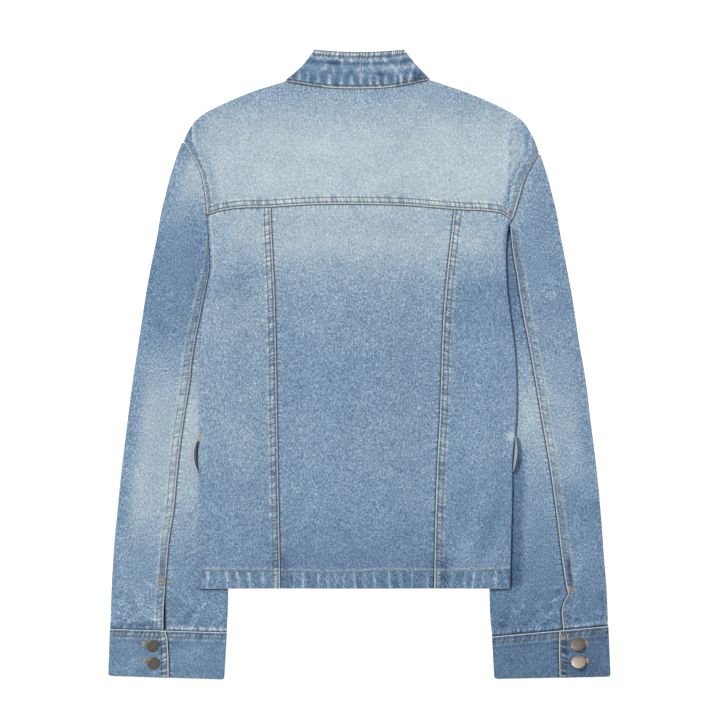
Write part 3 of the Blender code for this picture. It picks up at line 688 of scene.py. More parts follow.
BODY_CREASES = [
    # x, y, to x, to y, half width, height, wash as painted light on a ridge and painted shade in a
    # trough
    (158, -140, 124, -236, 9, 1.2, 0.08), (172, -160, 140, -246, 7, -1, -0.13),
    (178, -196, 158, -246, 5, 0.8, 0.08), (-150, -60, -120, -180, 16, 0.5, 0.02),
    (-40, 60, 30, -60, 22, 0.5, 0), (50, -120, -30, -220, 20, -0.5, 0),
    (-176, 60, -140, 20, 10, 0.6, 0.03), (168, 92, 128, 50, 10, 0.6, 0.03),
]
# Darker along the side backs' armhole edges, painted shade where the edge rolls down: reach, change
# of the tone
ARMHOLE_DIP = {"left": (3.0, 0.2), "right": (7.0, 0.4)}
hem_row_y = along(HEM_ROW)
side_edge_x = {"left": along(BODY, 1), "right": along(BODY, 4)}
panel_seam_x = {"left": along(BODY, 2), "right": along(BODY, 3)}


def back_edge(side, y):
    """The outer edge of the back: the side edge, then the armhole."""
    return np.where(y > UNDERARM[side], armhole_x[side](y), side_edge_x[side](y))


def build_back_panel(left, right, steps):
    """A panel between two edges, which are functions of y, from the hem to the yoke."""
    crown = YOKE_CORNER_Y["left"]
    start, end = HEM_Y + HEM_STEPS[-1], crown - TOP_STEPS[0]
    levels = [HEM_Y + a for a in HEM_STEPS]
    levels += [mix(start, end, s) for s in steps_between(start, end, 2.4)]
    levels += [crown - b for b in TOP_STEPS]
    level = np.array(levels)[:, None]
    shares = steps_between(left(0.0) + steps[-1], right(0.0) - steps[-1], 1.2)

    def columns(y_left, y_right):
        first, last = left(y_left), right(y_right)
        line = [first + a for a in steps]
        line += [mix(first + steps[-1], last - steps[-1], s) for s in shares]
        return np.concatenate(line + [last - a for a in reversed(steps)], axis=1)

    x = columns(level, level)
    bend = smooth_step(96, 173, level)
    for settle in range(4):
        y = level + (yoke_seam_y(x) - SEAM_GAP - crown) * bend
        x = columns(y[:, :1], y[:, -1:])
    cloth = fresh_cloth(x, y, back_z(x, y), body_wash(x, y))
    hem = y - HEM_Y
    row = hem_row_y(x) - HEM_Y
    felled_edge(cloth, hem, x, (row,), 0.22, HEM_PITCH, cream=0.6, faint=0.1, puff=0.4)
    band = smooth_drop(row - 1.5, row + 0.2, hem)
    cloth["wash_and_shade"] -= (0.12 + 0.0005 * x) * band
    for bar_x, lean, half_width, change in HEM_BARS:
        away = x - bar_x - lean * (0.5 - hem / HEM_DEPTH)
        bar = hump(away, half_width) * (0.85 + 0.15 * smooth_step(0, 12, hem))
        cloth["wash_and_shade"] += change * band * bar
    dashes = smooth_step(-0.2, 0.8, ripple(x, 31.0))
    cloth["wash_and_shade"] += 0.10 * band * hump(hem - 12.5, 1.3) * dashes
    # Painted shadow under the yoke's folded edge
    tucked_edge(cloth, yoke_seam_y(x) - y, x)
    mark(cloth, BLUE_SPOTS)
    return cloth


back_panels = {}


def shifted(line, shift):
    """A line of the cut, moved by a distance."""
    return lambda value: line(value) + shift


def build_back():
    left_seam, right_seam = panel_seam_x["left"], panel_seam_x["right"]
    panels = {
        # the cloth, its solid, its left and right edges, and the steps beside them
        "left": ("side_back_cloth_left", "back_side_left", partial(back_edge, "left"),
                 shifted(left_seam, -GAP / 2), edge_steps()),
        "centre": ("centre_back_cloth", "back_centre", shifted(left_seam, GAP / 2),
                   shifted(right_seam, -GAP / 2), TUCK_STEPS),
        "right": ("side_back_cloth_right", "back_side_right", shifted(right_seam, GAP / 2),
                  partial(back_edge, "right"), edge_steps()),
    }
    for where, (name, solid, left, right, steps) in panels.items():
        cloth = build_back_panel(left, right, steps)
        x, y = cloth["x"], cloth["y"]
        if where == "centre":
            # Painted shadow beside the side panels' felled edges
            for side, out in OUTWARD.items():
                tucked_edge(cloth, out * (panel_seam_x[side](y) - x), y)
        else:
            out = OUTWARD[where]
            beside_seam = out * (x - panel_seam_x[where](y))
            felled_edge(cloth, beside_seam, y, fade=0.12)
            low_band = smooth_drop(HEM_Y + HEM_DEPTH - 1, HEM_Y + HEM_DEPTH + 1, y)
            cloth["wash_and_shade"] += 0.5 * low_band * smooth_drop(6.5, 8.5, beside_seam)
            outer = out * (back_edge(where, y) - x)
            cloth["z"] -= 0.4 * smooth_drop(0, 1.6, outer)
            # Darker along the armhole edge, painted shade where the edge rolls down, strongest on
            # the right
            armhole = smooth_step(UNDERARM[where] - 60, UNDERARM[where] - 20, y)
            reach, change = ARMHOLE_DIP[where]
            cloth["wash_and_shade"] -= change * armhole * smooth_drop(0.5, reach, outer)
            if where == "left":
                ridge = hump(outer - 3.6, 0.7)
                cloth["wash_and_shade"] += 0.22 * ridge * smooth_step(92, 104, y)
            if where == "right":
                # Painted shadow along the right side edge, which stands over the sleeve
                low_edge = np.where(y > UNDERARM[where], FAR, outer)
                cloth["ditch"] = np.minimum(cloth["ditch"], low_edge + 1.2)
        mark(cloth, creases=BODY_CREASES)
        back_panels[where] = lay(name, cloth, solid)


build_back()

# ---------------------------------------------------------------------------------------------
# Fronts: two panels of the same denim that lie under the back, the wearer's left one lapped over
# the right at the opening, closed with buttons. Only their edges can be seen.

FRONT_LAP, FRONT_SCOOP, FRONT_NECK_Y = 15.0, 8.0, 265.0
UNDERARM_REACH, LAP_RISE = 1.6, 1.9


def front_edge(side, y):
    """The outer edge of a front: like the back's, with a deeper armhole."""
    tip = SHOULDER[side][0][1]
    share = np.clip((y - UNDERARM[side]) / (tip - UNDERARM[side]), 0.0, 1.0)
    return back_edge(side, y) - OUTWARD[side] * FRONT_SCOOP * np.sin(np.pi * share)


def front_z(side, x, y):
    """Height of a front's middle layer. The right front lies on the left one at the opening."""
    opening = smooth_drop(FRONT_LAP + 2, FRONT_LAP + 28, OUTWARD[side] * x)
    rise = LAP_RISE * smooth_drop(236, 264, y) + (LAP_RISE if side == "right" else 0.0)
    return LOWER + rise * opening + SLEEVE_RISE * side_rise(x, y, 24, 3)


def build_front(side):
    out = OUTWARD[side]
    corner_x, corner_y = NECK_CORNER[side]
    tip_x, tip_y = SHOULDER[side][0]
    underarm = UNDERARM[side]
    low = np.linspace(HEM_Y, underarm, 84)
    high = np.linspace(underarm, tip_y, 40)[1:]
    level = np.concatenate([low, high])[:, None]
    share = np.clip((level - underarm) / (tip_y - underarm), 0.0, 1.0)
    shoulder = np.linspace(tip_x, corner_x, 26)[:-1]
    turn = np.linspace(0.0, np.pi / 2, 26)
    neck_x = corner_x * np.cos(turn)
    neck_y = corner_y - (corner_y - FRONT_NECK_Y) * np.sin(turn)
    lap = np.linspace(0.0, -out * FRONT_LAP, 5)[1:]
    top_x = np.concatenate([shoulder, neck_x, lap])[None, :]
    top_y = np.concatenate([shoulder_y[side](shoulder), neck_y, FRONT_NECK_Y + 0 * lap])[None, :]
    at_underarm = smooth_step(underarm - 26, underarm - 14, level)
    at_underarm = at_underarm * smooth_drop(underarm - 2, underarm + 6, level)
    edge = front_edge(side, level) + UNDERARM_REACH * out * at_underarm
    reach = np.clip(1 - np.arange(top_x.shape[1]) / 26, 0.0, 1.0)[None, :]
    below = top_x + (front_edge(side, np.minimum(level, underarm)) - tip_x) * reach
    bow = edge - mix(side_edge_x[side](underarm), tip_x, share)
    under = below + (edge - front_edge(side, level)) * reach
    x = np.where(level > underarm, mix(below, top_x, share) + bow * reach, under)
    y = np.where(level > underarm, mix(underarm, top_y, share), level + 0 * top_y)
    if side == "right":
        x, y = x[:, ::-1], y[:, ::-1]
    cloth = fresh_cloth(x, y, front_z(side, x, y), body_wash(x, y) - 0.05)
    # Painted shadow in the underarm gap, on the front's edge that shows there
    outside = out * (front_edge(side, y) - x) + UNDERARM_REACH
    cloth["ditch"] = np.where(at_underarm > 0, np.clip(outside, 0.0, FAR), FAR)
    lap_edge = -out * x
    cloth["row"] = np.minimum(abs(FRONT_LAP - lap_edge - 2.0), abs(y - HEM_Y - HEM_DEPTH))
    cloth["rim"] = np.minimum(FRONT_LAP - lap_edge, y - HEM_Y)
    cloth["rope"] = 0.8 * smooth_drop(18, 24, y - HEM_Y)
    return lay(f"front_cloth_{side}", cloth, f"front_{side}", face_down=True)


fronts = {side: build_front(side) for side in OUTWARD}

# ---------------------------------------------------------------------------------------------
# Sleeves: each is an outer and an inner half of the same denim. The outer half is felled over the
# inner one down the back seam, which stands open above the cuff below a bar tack.

SLEEVE_TOP = {
    # y, outer fold
    "left": [
        (116, -249.9), (154.5, -242), (183.3, -237.1), (202.5, -232.3), (221.7, -227.5),
        (240.9, -221.6), (260.1, -214.8), (266, -212.2),
    ],
    "right": [
        (165, 239.2), (183.3, 236.2), (202.5, 231.4), (221.7, 226.6), (240.9, 220.6),
        (252, 216.8),
    ],
}
CUFFS = {
    "left": {
        "outer": ((-298.6, -317.6), (-300.6, -373.3)),
        "inner": ((-159.4, -322.0), (-162.4, -377.6)),
        "lap_edge": (-232.0, -228.4),
        "lap_under": -262.0,
        "buttons": ((-247.9, -336.2), (-246.9, -357.4)),
    },
    "right": {
        "outer": ((298.4, -314.4), (300.8, -374.2)),
        "inner": ((159.8, -327.0), (162.4, -377.0)),
        "lap_edge": (240.4, 240.4),
        "lap_under": 277.0,
        "buttons": ((261.8, -335.6), (262.7, -356.8)),
    },
}
SLEEVE_SOLIDS = {"outer": "sleeve_top_", "inner": "sleeve_under_"}
SLIT_TOP_Y, SLIT_LENGTH = -259.0, 50.0
SLIT_OPEN = {"left": 2.4, "right": 0.6}
FRONT_SEAM_RUN = 12.0
LOOPS = {
    # y of its top and bottom, how far its lower and upper edge bow out, how evenly, its wall
    "left": (-90.0, -127.5, 2.6, 5.2, 0.7, 1.4),
    "right": (-85.5, -128.5, 1.2, 4.6, 0.8, 1.2),
}
# Painted shadow of each loop on the sleeve beside it
LOOP_HOLLOW = {"left": 5.4, "right": 0.3}  # how far its shade reaches on the sleeve
fell_width = {
    # y, distance of the back seam's second row from the seam
    "left": along([(-318.0, 8.2), (-259.0, 8.0), (60.0, 8.6), (97.0, 7.8), (116.0, 7.0)]),
    "right": along([(-314.0, 10.4), (-284.0, 10.2), (-270.0, 7.6), (-256.0, 8.2), (-234.0, 9.2),
                    (-190.0, 8.2), (40.0, 8.6), (100.0, 8.0), (146.0, 6.4), (168.0, 6.2)]),
}
back_seam_x = {side: along(SLEEVE[side], 2) for side in OUTWARD}
outer_fold_x = {
    side: along([row[:2] for row in SLEEVE[side]] + SLEEVE_TOP[side][1:]) for side in OUTWARD
}
FOLD_TURN = (UPPER - LOWER) / 2
FOLD_ANGLES = np.linspace(np.pi / 2, -np.pi / 2, 9)
SLEEVE_PUFF = 1.2
FINE_RUN = 66.0
ARMHOLE_SOFT = {"left": 1.4, "right": 2.2}
ARMHOLE_BAND = ([110.0, 123.0, 147.0, 160.0], [9.0, 7.0, 2.3, 0.0])  # y, width of the shade
FRONT_SEAM_SHARE = 0.45

SLEEVE_WASH = {
    # y, wash
    "outer_left": [
        (-318, 0.44), (-282, 0.47), (-222, 0.60), (-190, 0.73), (-162, 0.78), (-100, 0.81),
        (-42, 0.75), (-5, 0.65), (20, 0.54), (78, 0.37), (130, 0.40), (162, 0.46),
        (190, 0.67), (222, 0.87), (245, 0.86), (262, 0.76),
    ],
    "inner_left": [
        (-318, 0.30), (-294, 0.36), (-240, 0.50), (-186, 0.66), (-130, 0.84), (-78, 0.91),
        (-20, 0.76), (40, 0.55), (116, 0.45),
    ],
    "outer_right": [
        (-314, 0.14), (-282, 0.24), (-234, 0.42), (-195, 0.38), (-162, 0.40), (-130, 0.63),
        (-102, 0.67), (-42, 0.68), (0, 0.60), (40, 0.54), (78, 0.49), (140, 0.52),
        (198, 0.54), (250, 0.60),
    ],
    "inner_right": [
        (-318, 0.10), (-294, 0.16), (-234, 0.33), (-162, 0.52), (-102, 0.68), (-42, 0.80),
        (0, 0.64), (40, 0.44), (90, 0.20), (115, 0.26), (165, 0.2),
    ],
}
sleeve_wash = {place: along(rows) for place, rows in SLEEVE_WASH.items()}
CUFF_FADE_AND_SHADE = {
    # change of the wash above the cuff, how far above, over what half height: pale wear, and on the
    # outer left half painted shade where the sleeve bulges over the cuff
    "outer_left": (-0.16, 2.6, 1.6),
    "inner_left": (0.50, 3.6, 2.4),
    "outer_right": (0.44, 4.8, 2.4),
    "inner_right": (0.20, 4.6, 2.6),
}
SLEEVE_CREASES = {
    # x, y, to x, to y, half width, height, wash: painted light on the broad ridges and painted
    # shade in the troughs and under bulges, while the narrow pale lines are wear
    "outer_left": [
        (-262, -290, -236, -312, 3, 0.5, 0.22), (-284, -313, -244, -311, 2.4, -0.7, -0.42),
        (-250, 96, -200, 60, 12, 0.9, 0.04), (-246, 60, -206, 20, 12, -0.7, -0.03),
        (-270, -120, -236, -190, 12, 0.7, 0.04), (-236, -230, -237, -256, 3, -0.3, -0.38),
        (-252, -272, -284, -296, 2, 0.3, 0.14), (-276, -262, -262, -284, 2, 0.3, 0.12),
        (-258, -259, -245, -267, 1.6, 0.2, 0.26), (-281, -260, -280, -274, 1.6, 0.2, 0.22),
    ],
    "inner_left": [
        (-200, -150, -176, -230, 12, 0.6, 0), (-216, -250, -180, -300, 14, 0.5, 0.03),
        (-231, -266, -222, -273, 1.6, 0.2, 0.26), (-227, -241, -223, -257, 2.6, 0.3, 0.18),
    ],
    "outer_right": [
        (246, 100, 200, 60, 12, 0.9, 0.03), (258, 40, 212, 4, 12, -0.6, -0.03),
        (278, -150, 250, -220, 11, 0.6, 0.05), (250.6, -228, 254.6, -267, 2.6, -0.5, -0.70),
        (266, -226, 262, -262, 5, 0.4, 0.12),
    ],
    "inner_right": [
        (231, -285, 242, -279, 1.6, 0.4, 0.34), (232, -284, 240, -301, 1.6, 0.4, 0.32),
        (214, -271, 246, -266, 1.8, 0.4, 0.26), (186, -301, 199, -289, 1.8, 0.4, 0.28),
        (224, -299, 239, -298, 1.5, 0.3, 0.24), (206, -262, 190, -284, 5, 0.4, 0.10),
        (236, -269, 240, -276, 5, -0.4, -0.24), (236, -288, 241, -296, 4, -0.4, -0.18),
        (216, -296, 200, -306, 4, -0.3, -0.16), (176, -309, 232, -303, 4, 0.4, 0.10),
        (168, -300, 200, -312, 3.5, -0.3, -0.12),
    ],
}


def cuff_line(side, x, share=0.0):
    """The cuff's top edge as y, or its bottom edge for a share of 1."""
    cuff = CUFFS[side]
    outer_x, outer_y = (mix(a, b, share) for a, b in zip(*cuff["outer"]))
    inner_x, inner_y = (mix(a, b, share) for a, b in zip(*cuff["inner"]))
    return mix(inner_y, outer_y, (x - inner_x) / (outer_x - inner_x))


def sleeve_slope(side, y):
    """How far a section across the sleeve tilts, so that the lowest one follows the cuff."""
    cuff = CUFFS[side]
    (outer_x, outer_y), (inner_x, inner_y) = cuff["outer"][0], cuff["inner"][0]
    return (outer_y - inner_y) / (outer_x - inner_x) * smooth_drop(-300.0, -120.0, y)


def slit(side, y):
    """The back seam stands open from its tack down to the cuff."""
    depth = smooth_step(SLIT_TOP_Y, SLIT_TOP_Y - SLIT_LENGTH, y)
    return GAP + (SLIT_OPEN[side] - GAP) * depth


def sleeve_seams(side, y):
    """The xs of the back seam and the front seam, then of the back and front armholes."""
    armhole = smooth_step(UNDERARM[side] - 3, UNDERARM[side] + 1.5, y)
    out = OUTWARD[side]
    back = mix(back_seam_x[side](y), back_edge(side, y) + out * SEAM_GAP, armhole)
    front = mix(back_seam_x[side](y), inner_fold_x[side](y), FRONT_SEAM_SHARE)
    tucked = smooth_step(TUCK_TOP[side] - FRONT_SEAM_RUN, TUCK_TOP[side], y)
    return back, mix(front, front_edge(side, y) + out * SEAM_GAP, tucked)


def sleeve_levels(side, top):
    """Heights of the sections, close together by the cuff."""
    cuff_top = CUFFS[side]["outer"][0][1] + 2 * GAP
    near = (0.0, 0.6, 1.3, 2.2, 3.4, 4.8, 6.6, 8.6, 10.8)
    start = cuff_top + near[-1]
    levels = [cuff_top + a for a in near]
    fine_end = start + FINE_RUN
    levels += [mix(start, fine_end, s) for s in steps_between(start, fine_end, 1.3)]
    levels += [mix(fine_end, top, s) for s in [0.0, *steps_between(fine_end, top, 2.4)]]
    return np.array(levels + [top])


def sleeve_form(side, half):
    """The points of half a sleeve, from the back seam round its fold to the front seam below.

    With them come the level of each row, and which points are on the upper layer.
    """
    out = OUTWARD[side]
    outer_half = half == "outer"
    y = sleeve_levels(side, SLEEVE_TOP[side][-1][0] if outer_half else TUCK_TOP[side])
    back, front = sleeve_seams(side, y)
    fold = (outer_fold_x if outer_half else inner_fold_x)[side](y)
    away = out if outer_half else -out
    start = back + (out * (slit(side, y) if outer_half else 0.0)) * (y < UNDERARM[side])
    end = front + (out * GAP if outer_half else 0.0)
    near = edge_steps()
    room = abs(fold - start) - FOLD_TURN
    squeeze = np.clip(0.45 * room / near[-1], 0.0, 1.0)
    lines, heights, on_top = [], [], []

    def column(line, height, top_layer):
        lines.append(line)
        heights.append(height + 0 * y)
        on_top.append(top_layer + 0 * y)

    for a in near:
        column(start + away * a * squeeze, UPPER, 1.0)
    flat_end = fold - away * FOLD_TURN
    width = abs(fold - start).max() - near[-1]
    for s in steps_between(0, width, 1.6):
        column(mix(lines[len(near) - 1], flat_end, s), UPPER, 1.0)
    for angle in FOLD_ANGLES:
        reach = away * FOLD_TURN * (np.cos(angle) - 1)
        column(fold + reach, (LOWER + UPPER) / 2 + FOLD_TURN * np.sin(angle), float(angle > 0))
    for s in np.append(steps_between(0, width, 4.0), 1.0):
        column(mix(flat_end, end, s), LOWER, 0.0)
    x = np.stack(lines, axis=1)
    z = np.stack(heights, axis=1)
    upper = np.stack(on_top, axis=1)
    level = y[:, None]
    outer_x = outer_fold_x[side](level)
    y = level + sleeve_slope(side, level) * (x - outer_x)
    order = -1 if (side == "left") == outer_half else 1
    return (level, *(part[:, ::order] for part in (x, y, z, upper)))


def wear_and_shade_outer_half(side, cloth, from_seam, below, upper, out_of_body):
    """The felled back seam, the painted shadow under the body's armhole edge, and the shade and
    pale worn strips beside the armhole.
    """
    y = cloth["y"]
    level_slit, second = slit(side, below["level"]), fell_width[side](below["level"])
    felled = np.where(below["armhole"] & (upper > 0), from_seam - level_slit, FAR)
    felled_edge(cloth, felled, y, (FIRST_ROW, second), 0.34, faint=0.35, fade=0.14)
    ridge = hump(felled - second - 1.6, 1.0)
    cloth["wash_and_shade"] += 0.14 * ridge * smooth_drop(0.6, 0.95, cloth["wash_and_shade"])
    # Painted shadow where the sleeve goes under the body's armhole edge, set back by ARMHOLE_SOFT
    by_armhole = np.where(~below["armhole"] & (upper > 0), from_seam, FAR)
    tucked_edge(cloth, by_armhole + ARMHOLE_SOFT[side], y, roping=0.2)
    if side == "left":
        strip = np.interp(y, *ARMHOLE_BAND)
        above = smooth_step(110.0, 116.0, y)
        cloth["wash_and_shade"] -= 0.16 * above * smooth_drop(-0.6, 0.6, out_of_body - strip)
    else:
        cloth["wash_and_shade"] += 0.12 * smooth_drop(3, 14, by_armhole)
        near_top = smooth_step(60, 120, y) * smooth_drop(8, 11, from_seam)
        cloth["wash_and_shade"] -= 0.26 * near_top * below["armhole"]


def build_sleeve_half(side, half):
    """A half of a sleeve: its form, its puff off the table, its seams, its tone with its painted
    shadows, and its creases.
    """
    out, outer_half = OUTWARD[side], half == "outer"
    level, x, y, z, upper = sleeve_form(side, half)
    outer_x = outer_fold_x[side](level)
    away = out if outer_half else -out
    out_of_body = out * (x - back_edge(side, y))
    visible = upper * smooth_step(1.0, 4.0, out_of_body)
    puff = smooth_step(3, 26, out_of_body) * smooth_step(0, 16, out * (outer_x - x))
    place = f"{half}_{side}"
    cloth = fresh_cloth(x, y, z + upper * SLEEVE_PUFF * puff, sleeve_wash[place](y))
    back_x, _ = sleeve_seams(side, level)
    from_seam = away * (x - back_x)
    if outer_half:
        below = {"level": level, "armhole": level < UNDERARM[side] - 3}
        wear_and_shade_outer_half(side, cloth, from_seam, below, upper, out_of_body)
    else:
        # Painted shadow under the outer half's felled edge
        tucked_edge(cloth, np.where(upper > 0, from_seam, FAR), y)
    # Painted shadow on the lower layer, seen through the open slit
    near_slit = (upper == 0) & (abs(x - back_x) < 6)
    cloth["ditch"] = np.where(near_slit, 0.0, cloth["ditch"])
    cuff_distance = y - cuff_line(side, x) - 2 * GAP
    thick = 0.0 if side == "left" else 1.0 + 0.5 * ripple(x, 30.0)
    # Painted shadow where the sleeve goes under the cuff's top edge
    by_cuff = np.where(upper > 0, cuff_distance - thick, FAR)
    tucked_edge(cloth, by_cuff, x, 0.55, 7.0)
    # Pale wear above the cuff, and on the outer left half painted shade where the sleeve bulges
    # over it
    change, height, half_height = CUFF_FADE_AND_SHADE[place]
    pale = hump(cuff_distance - height, half_height)
    cloth["wash_and_shade"] += change * pale * (1.0 + 0.3 * ripple(x, 9.0))
    cloth["crackle"] = upper * smooth_drop(14, 74, cuff_distance)
    # Painted shadow of the body's hem on the sleeve below it
    below_hem = HEM_Y - y
    hem_shade = smooth_step(-4, 0, below_hem) * smooth_drop(1, 5, below_hem)
    cloth["wash_and_shade"] -= 0.4 * hem_shade * smooth_drop(-1, 3, out_of_body) * upper
    if side == "right":
        # Painted shadow of the body on the right sleeve beside its edge, and a painted dark line
        # along that edge
        shade = smooth_drop(9, 18, out_of_body) * smooth_step(-268, -264, y)
        cloth["wash_and_shade"] -= 0.42 * shade * smooth_drop(-125, -90, y)
        by_edge = (out_of_body < 2.4) & (y > HEM_Y)
        cloth["ditch"] = np.where(by_edge, 1.4 + 0.35 * hump(y + 5, 60), cloth["ditch"])
    # Painted shadow of the loop on the sleeve, reaching as far as the hollow under it
    loop_top, loop_bottom, _, _, roundness, _ = LOOPS[side]
    share = np.clip((y - loop_bottom) / (loop_top - loop_bottom), 0.0, 1.0)
    hollow = LOOP_HOLLOW[side] * np.sin(np.pi * share) ** roundness
    in_hollow = np.clip(out_of_body - hollow, 0.0, 9.0) + 9.0 * (hollow < 0.4)
    cloth["ditch"] = np.minimum(cloth["ditch"], in_hollow)
    mark(cloth, creases=SLEEVE_CREASES[place])
    cloth["z"] = np.where(upper > 0, mix(z, cloth["z"], visible), z)
    if outer_half:
        by_fold = smooth_drop(6, 24, out * (outer_x - x))
        cloth["wash_and_shade"] -= 0.26 * by_fold * smooth_step(0.55, 0.8, sleeve_wash[place](y))
    return lay(f"sleeve_{half}_cloth_{side}", cloth, SLEEVE_SOLIDS[half] + side)


sleeves = {
    (side, half): build_sleeve_half(side, half) for side in OUTWARD for half in SLEEVE_SOLIDS
}

# ---------------------------------------------------------------------------------------------
# Cuffs: bands of darker, double denim sewn round the ends of the sleeves. Each laps over itself
# on the outer half, where it closes with two shank buttons.

CUFF_LEVELS = (0.8, 2.7, 4.6)
CUFF_CLOTH = 1.3
CUFF_DEPTH = 55.2
CUFF_ROWS = (1.9, 6.8)
LAP_ROWS = (2.2, 8.0)
CORNER_RADII = {"left": (2.8, 2.0), "right": (2.8, 5.0)}  # at the folds, at the lap
CUFF_PATCHES = {
    # x, y, reach x, reach y, change of the wash
    "left": [
        (-200, -352, 40, 16, 0.08), (-272, -366, 20, 12, 0.08), (-257, -369, 10, 5, -0.20),
        (-245, -369, 4, 4, 0.22),
    ],
    "right": [
        (200, -352, 40, 16, 0.08), (272, -366, 20, 12, -0.12), (284, -350, 14, 26, -0.08),
        (235, -348, 5, 24, -0.10), (282, -327, 16, 4, -0.14),
    ],
}
CUFF_LOOK = {
    # wash, what is off the worn rim at the top and at the lap, pale strip between the lap's rows
    "left": (0.33, 0.86, -0.4, 0.16),
    "right": (0.06, 0.9, 0.0, 0.0),
}
CUFF_DENIM = denim("cuff denim", 1.3, 0.3, 0.85, 1.0)


def band_shares(depth, first_steps, last_steps, size):
    """Where the lines along a band run, as shares of its depth, with fine steps at its edges."""
    start, end = first_steps[-1], depth - last_steps[0]
    offsets = [*first_steps, *(mix(start, end, s) for s in steps_between(start, end, size))]
    return np.array([*offsets, *(depth - b for b in last_steps)]) / depth


def lap_bow(side, share):
    """How far the lap's edge bows towards the inner fold, from its top (0) to its foot (1)."""
    reach = {"left": 1.3, "right": -0.7}[side]
    return reach * smooth_step(0.02, 0.16, share) * smooth_drop(0.5, 1.0, share)


def build_cuff(side):
    cuff, out = CUFFS[side], OUTWARD[side]
    low, middle, high = CUFF_LEVELS
    turn = (middle - low) / 2
    top_steps, foot_steps = edge_steps(*CUFF_ROWS), (4.6, 3.4, 2.4, 1.5, 0.7, 0.0)
    v = band_shares(CUFF_DEPTH, top_steps, foot_steps, 2.4)
    outer_x, inner_x = (
        mix(cuff[end][0][0], cuff[end][1][0], v) for end in ("outer", "inner")
    )
    edge_x = mix(*cuff["lap_edge"], v) + lap_bow(side, v)
    under_x = cuff["lap_under"] + 0 * v
    ramp_low, ramp_high = under_x + out * 14, under_x + out * 3
    lines, heights, layer = [], [], []

    def run(start, end, start_z, end_z, shares, which):
        for s in shares:
            lines.append(mix(start, end, s))
            heights.append(mix(start_z, end_z, s) + 0 * v)
            layer.append(which + 0 * v)

    def turned(fold, away, angles):
        for angle in angles:
            lines.append(fold + away * turn * (np.cos(angle) - 1))
            heights.append((low + middle) / 2 + turn * np.sin(angle) + 0 * v)
            layer.append(float(angle > 0) + 0 * v)

    run(under_x, inner_x + out * turn, middle, middle, np.linspace(0, 1, 44)[:-1], 1.0)
    turned(inner_x, -out, FOLD_ANGLES)
    run(inner_x + out * turn, outer_x - out * turn, low, low, np.linspace(0, 1, 40)[1:-1], 0.0)
    turned(outer_x, out, FOLD_ANGLES[::-1])
    run(outer_x - out * turn, ramp_low, middle, middle, np.linspace(0, 1, 10)[1:-1], 2.0)
    run(ramp_low, ramp_high, middle, high, smooth_step(0, 1, np.linspace(0, 1, 6)), 2.0)
    near = edge_steps(*LAP_ROWS)
    inner_start = edge_x + out * near[-1]
    run(ramp_high, inner_start, high, high, np.linspace(0, 1, 9)[1:-1], 2.0)
    for a in reversed(near):
        run(edge_x + out * a, edge_x, high, high, [0.0], 2.0)
    x = np.stack(lines, axis=1)
    z = np.stack(heights, axis=1)
    part = np.stack(layer, axis=1)
    top_y, foot_y = cuff_line(side, x), cuff_line(side, x, 1.0)
    to_fold = np.minimum(out * (outer_x[:, None] - x), out * (x - inner_x[:, None]))
    to_lap = np.where(part == 2.0, out * (x - edge_x[:, None]), FAR)
    for radius, to_end in zip(CORNER_RADII[side], (to_fold, to_lap)):
        dip = np.clip(radius - to_end, 0.0, radius)
        foot_y = foot_y + radius - np.sqrt(radius**2 - dip**2)
    y = mix(top_y, foot_y, v[:, None])
    if side == "right":
        x, y, z, part, top_y, foot_y, to_lap = (
            a[:, ::-1] for a in (x, y, z, part, top_y, foot_y, to_lap)
        )
    wash_and_shade, top_cream, lap_cream, strip = CUFF_LOOK[side]
    cloth = fresh_cloth(x, y, z, wash_and_shade)
    from_top = np.where(part > 0, top_y - y, FAR)
    felled_edge(cloth, from_top, x, CUFF_ROWS, 0.6, 6.0, top_cream, fade=0.0)
    below_rows = np.where(part > 0, top_y - y - CUFF_ROWS[-1], FAR)
    cloth["wash_and_shade"] += 0.2 * hump(below_rows - 3.0, 1.4)
    # Painted shade of the small fold below the rows
    cloth["wash_and_shade"] -= 0.16 * hump(below_rows - 6.0, 1.6)
    felled_edge(cloth, to_lap, y, LAP_ROWS, 0.9, 6.5, lap_cream, fade=0.0)
    lap_band = smooth_step(2.6, 3.6, to_lap) * smooth_drop(6.6, 7.6, to_lap)
    cloth["wash_and_shade"] += strip * lap_band
    # Painted shadow beside the lap's edge
    beside_lap = np.where(part == 1.0, -out * (x - edge_x[:, None]), FAR)
    beside_lap = np.where(beside_lap < -1.0, FAR, beside_lap)
    tucked_edge(cloth, beside_lap, y, roping=0.5)
    foot = y - foot_y
    cloth["rim"] = np.minimum(cloth["rim"], foot + 0.55)
    cloth["z"] -= 0.3 * smooth_drop(0, 1.6, foot) * np.sign(part - 0.5)
    mark(cloth, CUFF_PATCHES[side])
    cloth = {key: value[::-1] for key, value in cloth.items()}
    name, solid = f"cuff_cloth_{side}", f"cuff_{side}"
    return lay(name, cloth, solid, CUFF_CLOTH, CUFF_DENIM)


cuffs = {side: build_cuff(side) for side in OUTWARD}

# ---------------------------------------------------------------------------------------------
# Collar: a stand band of darker, double denim sewn on round the neck and folded flat, with two
# rows along its top edge, one along its foot, and the blotchy wear of a stiff folded band.

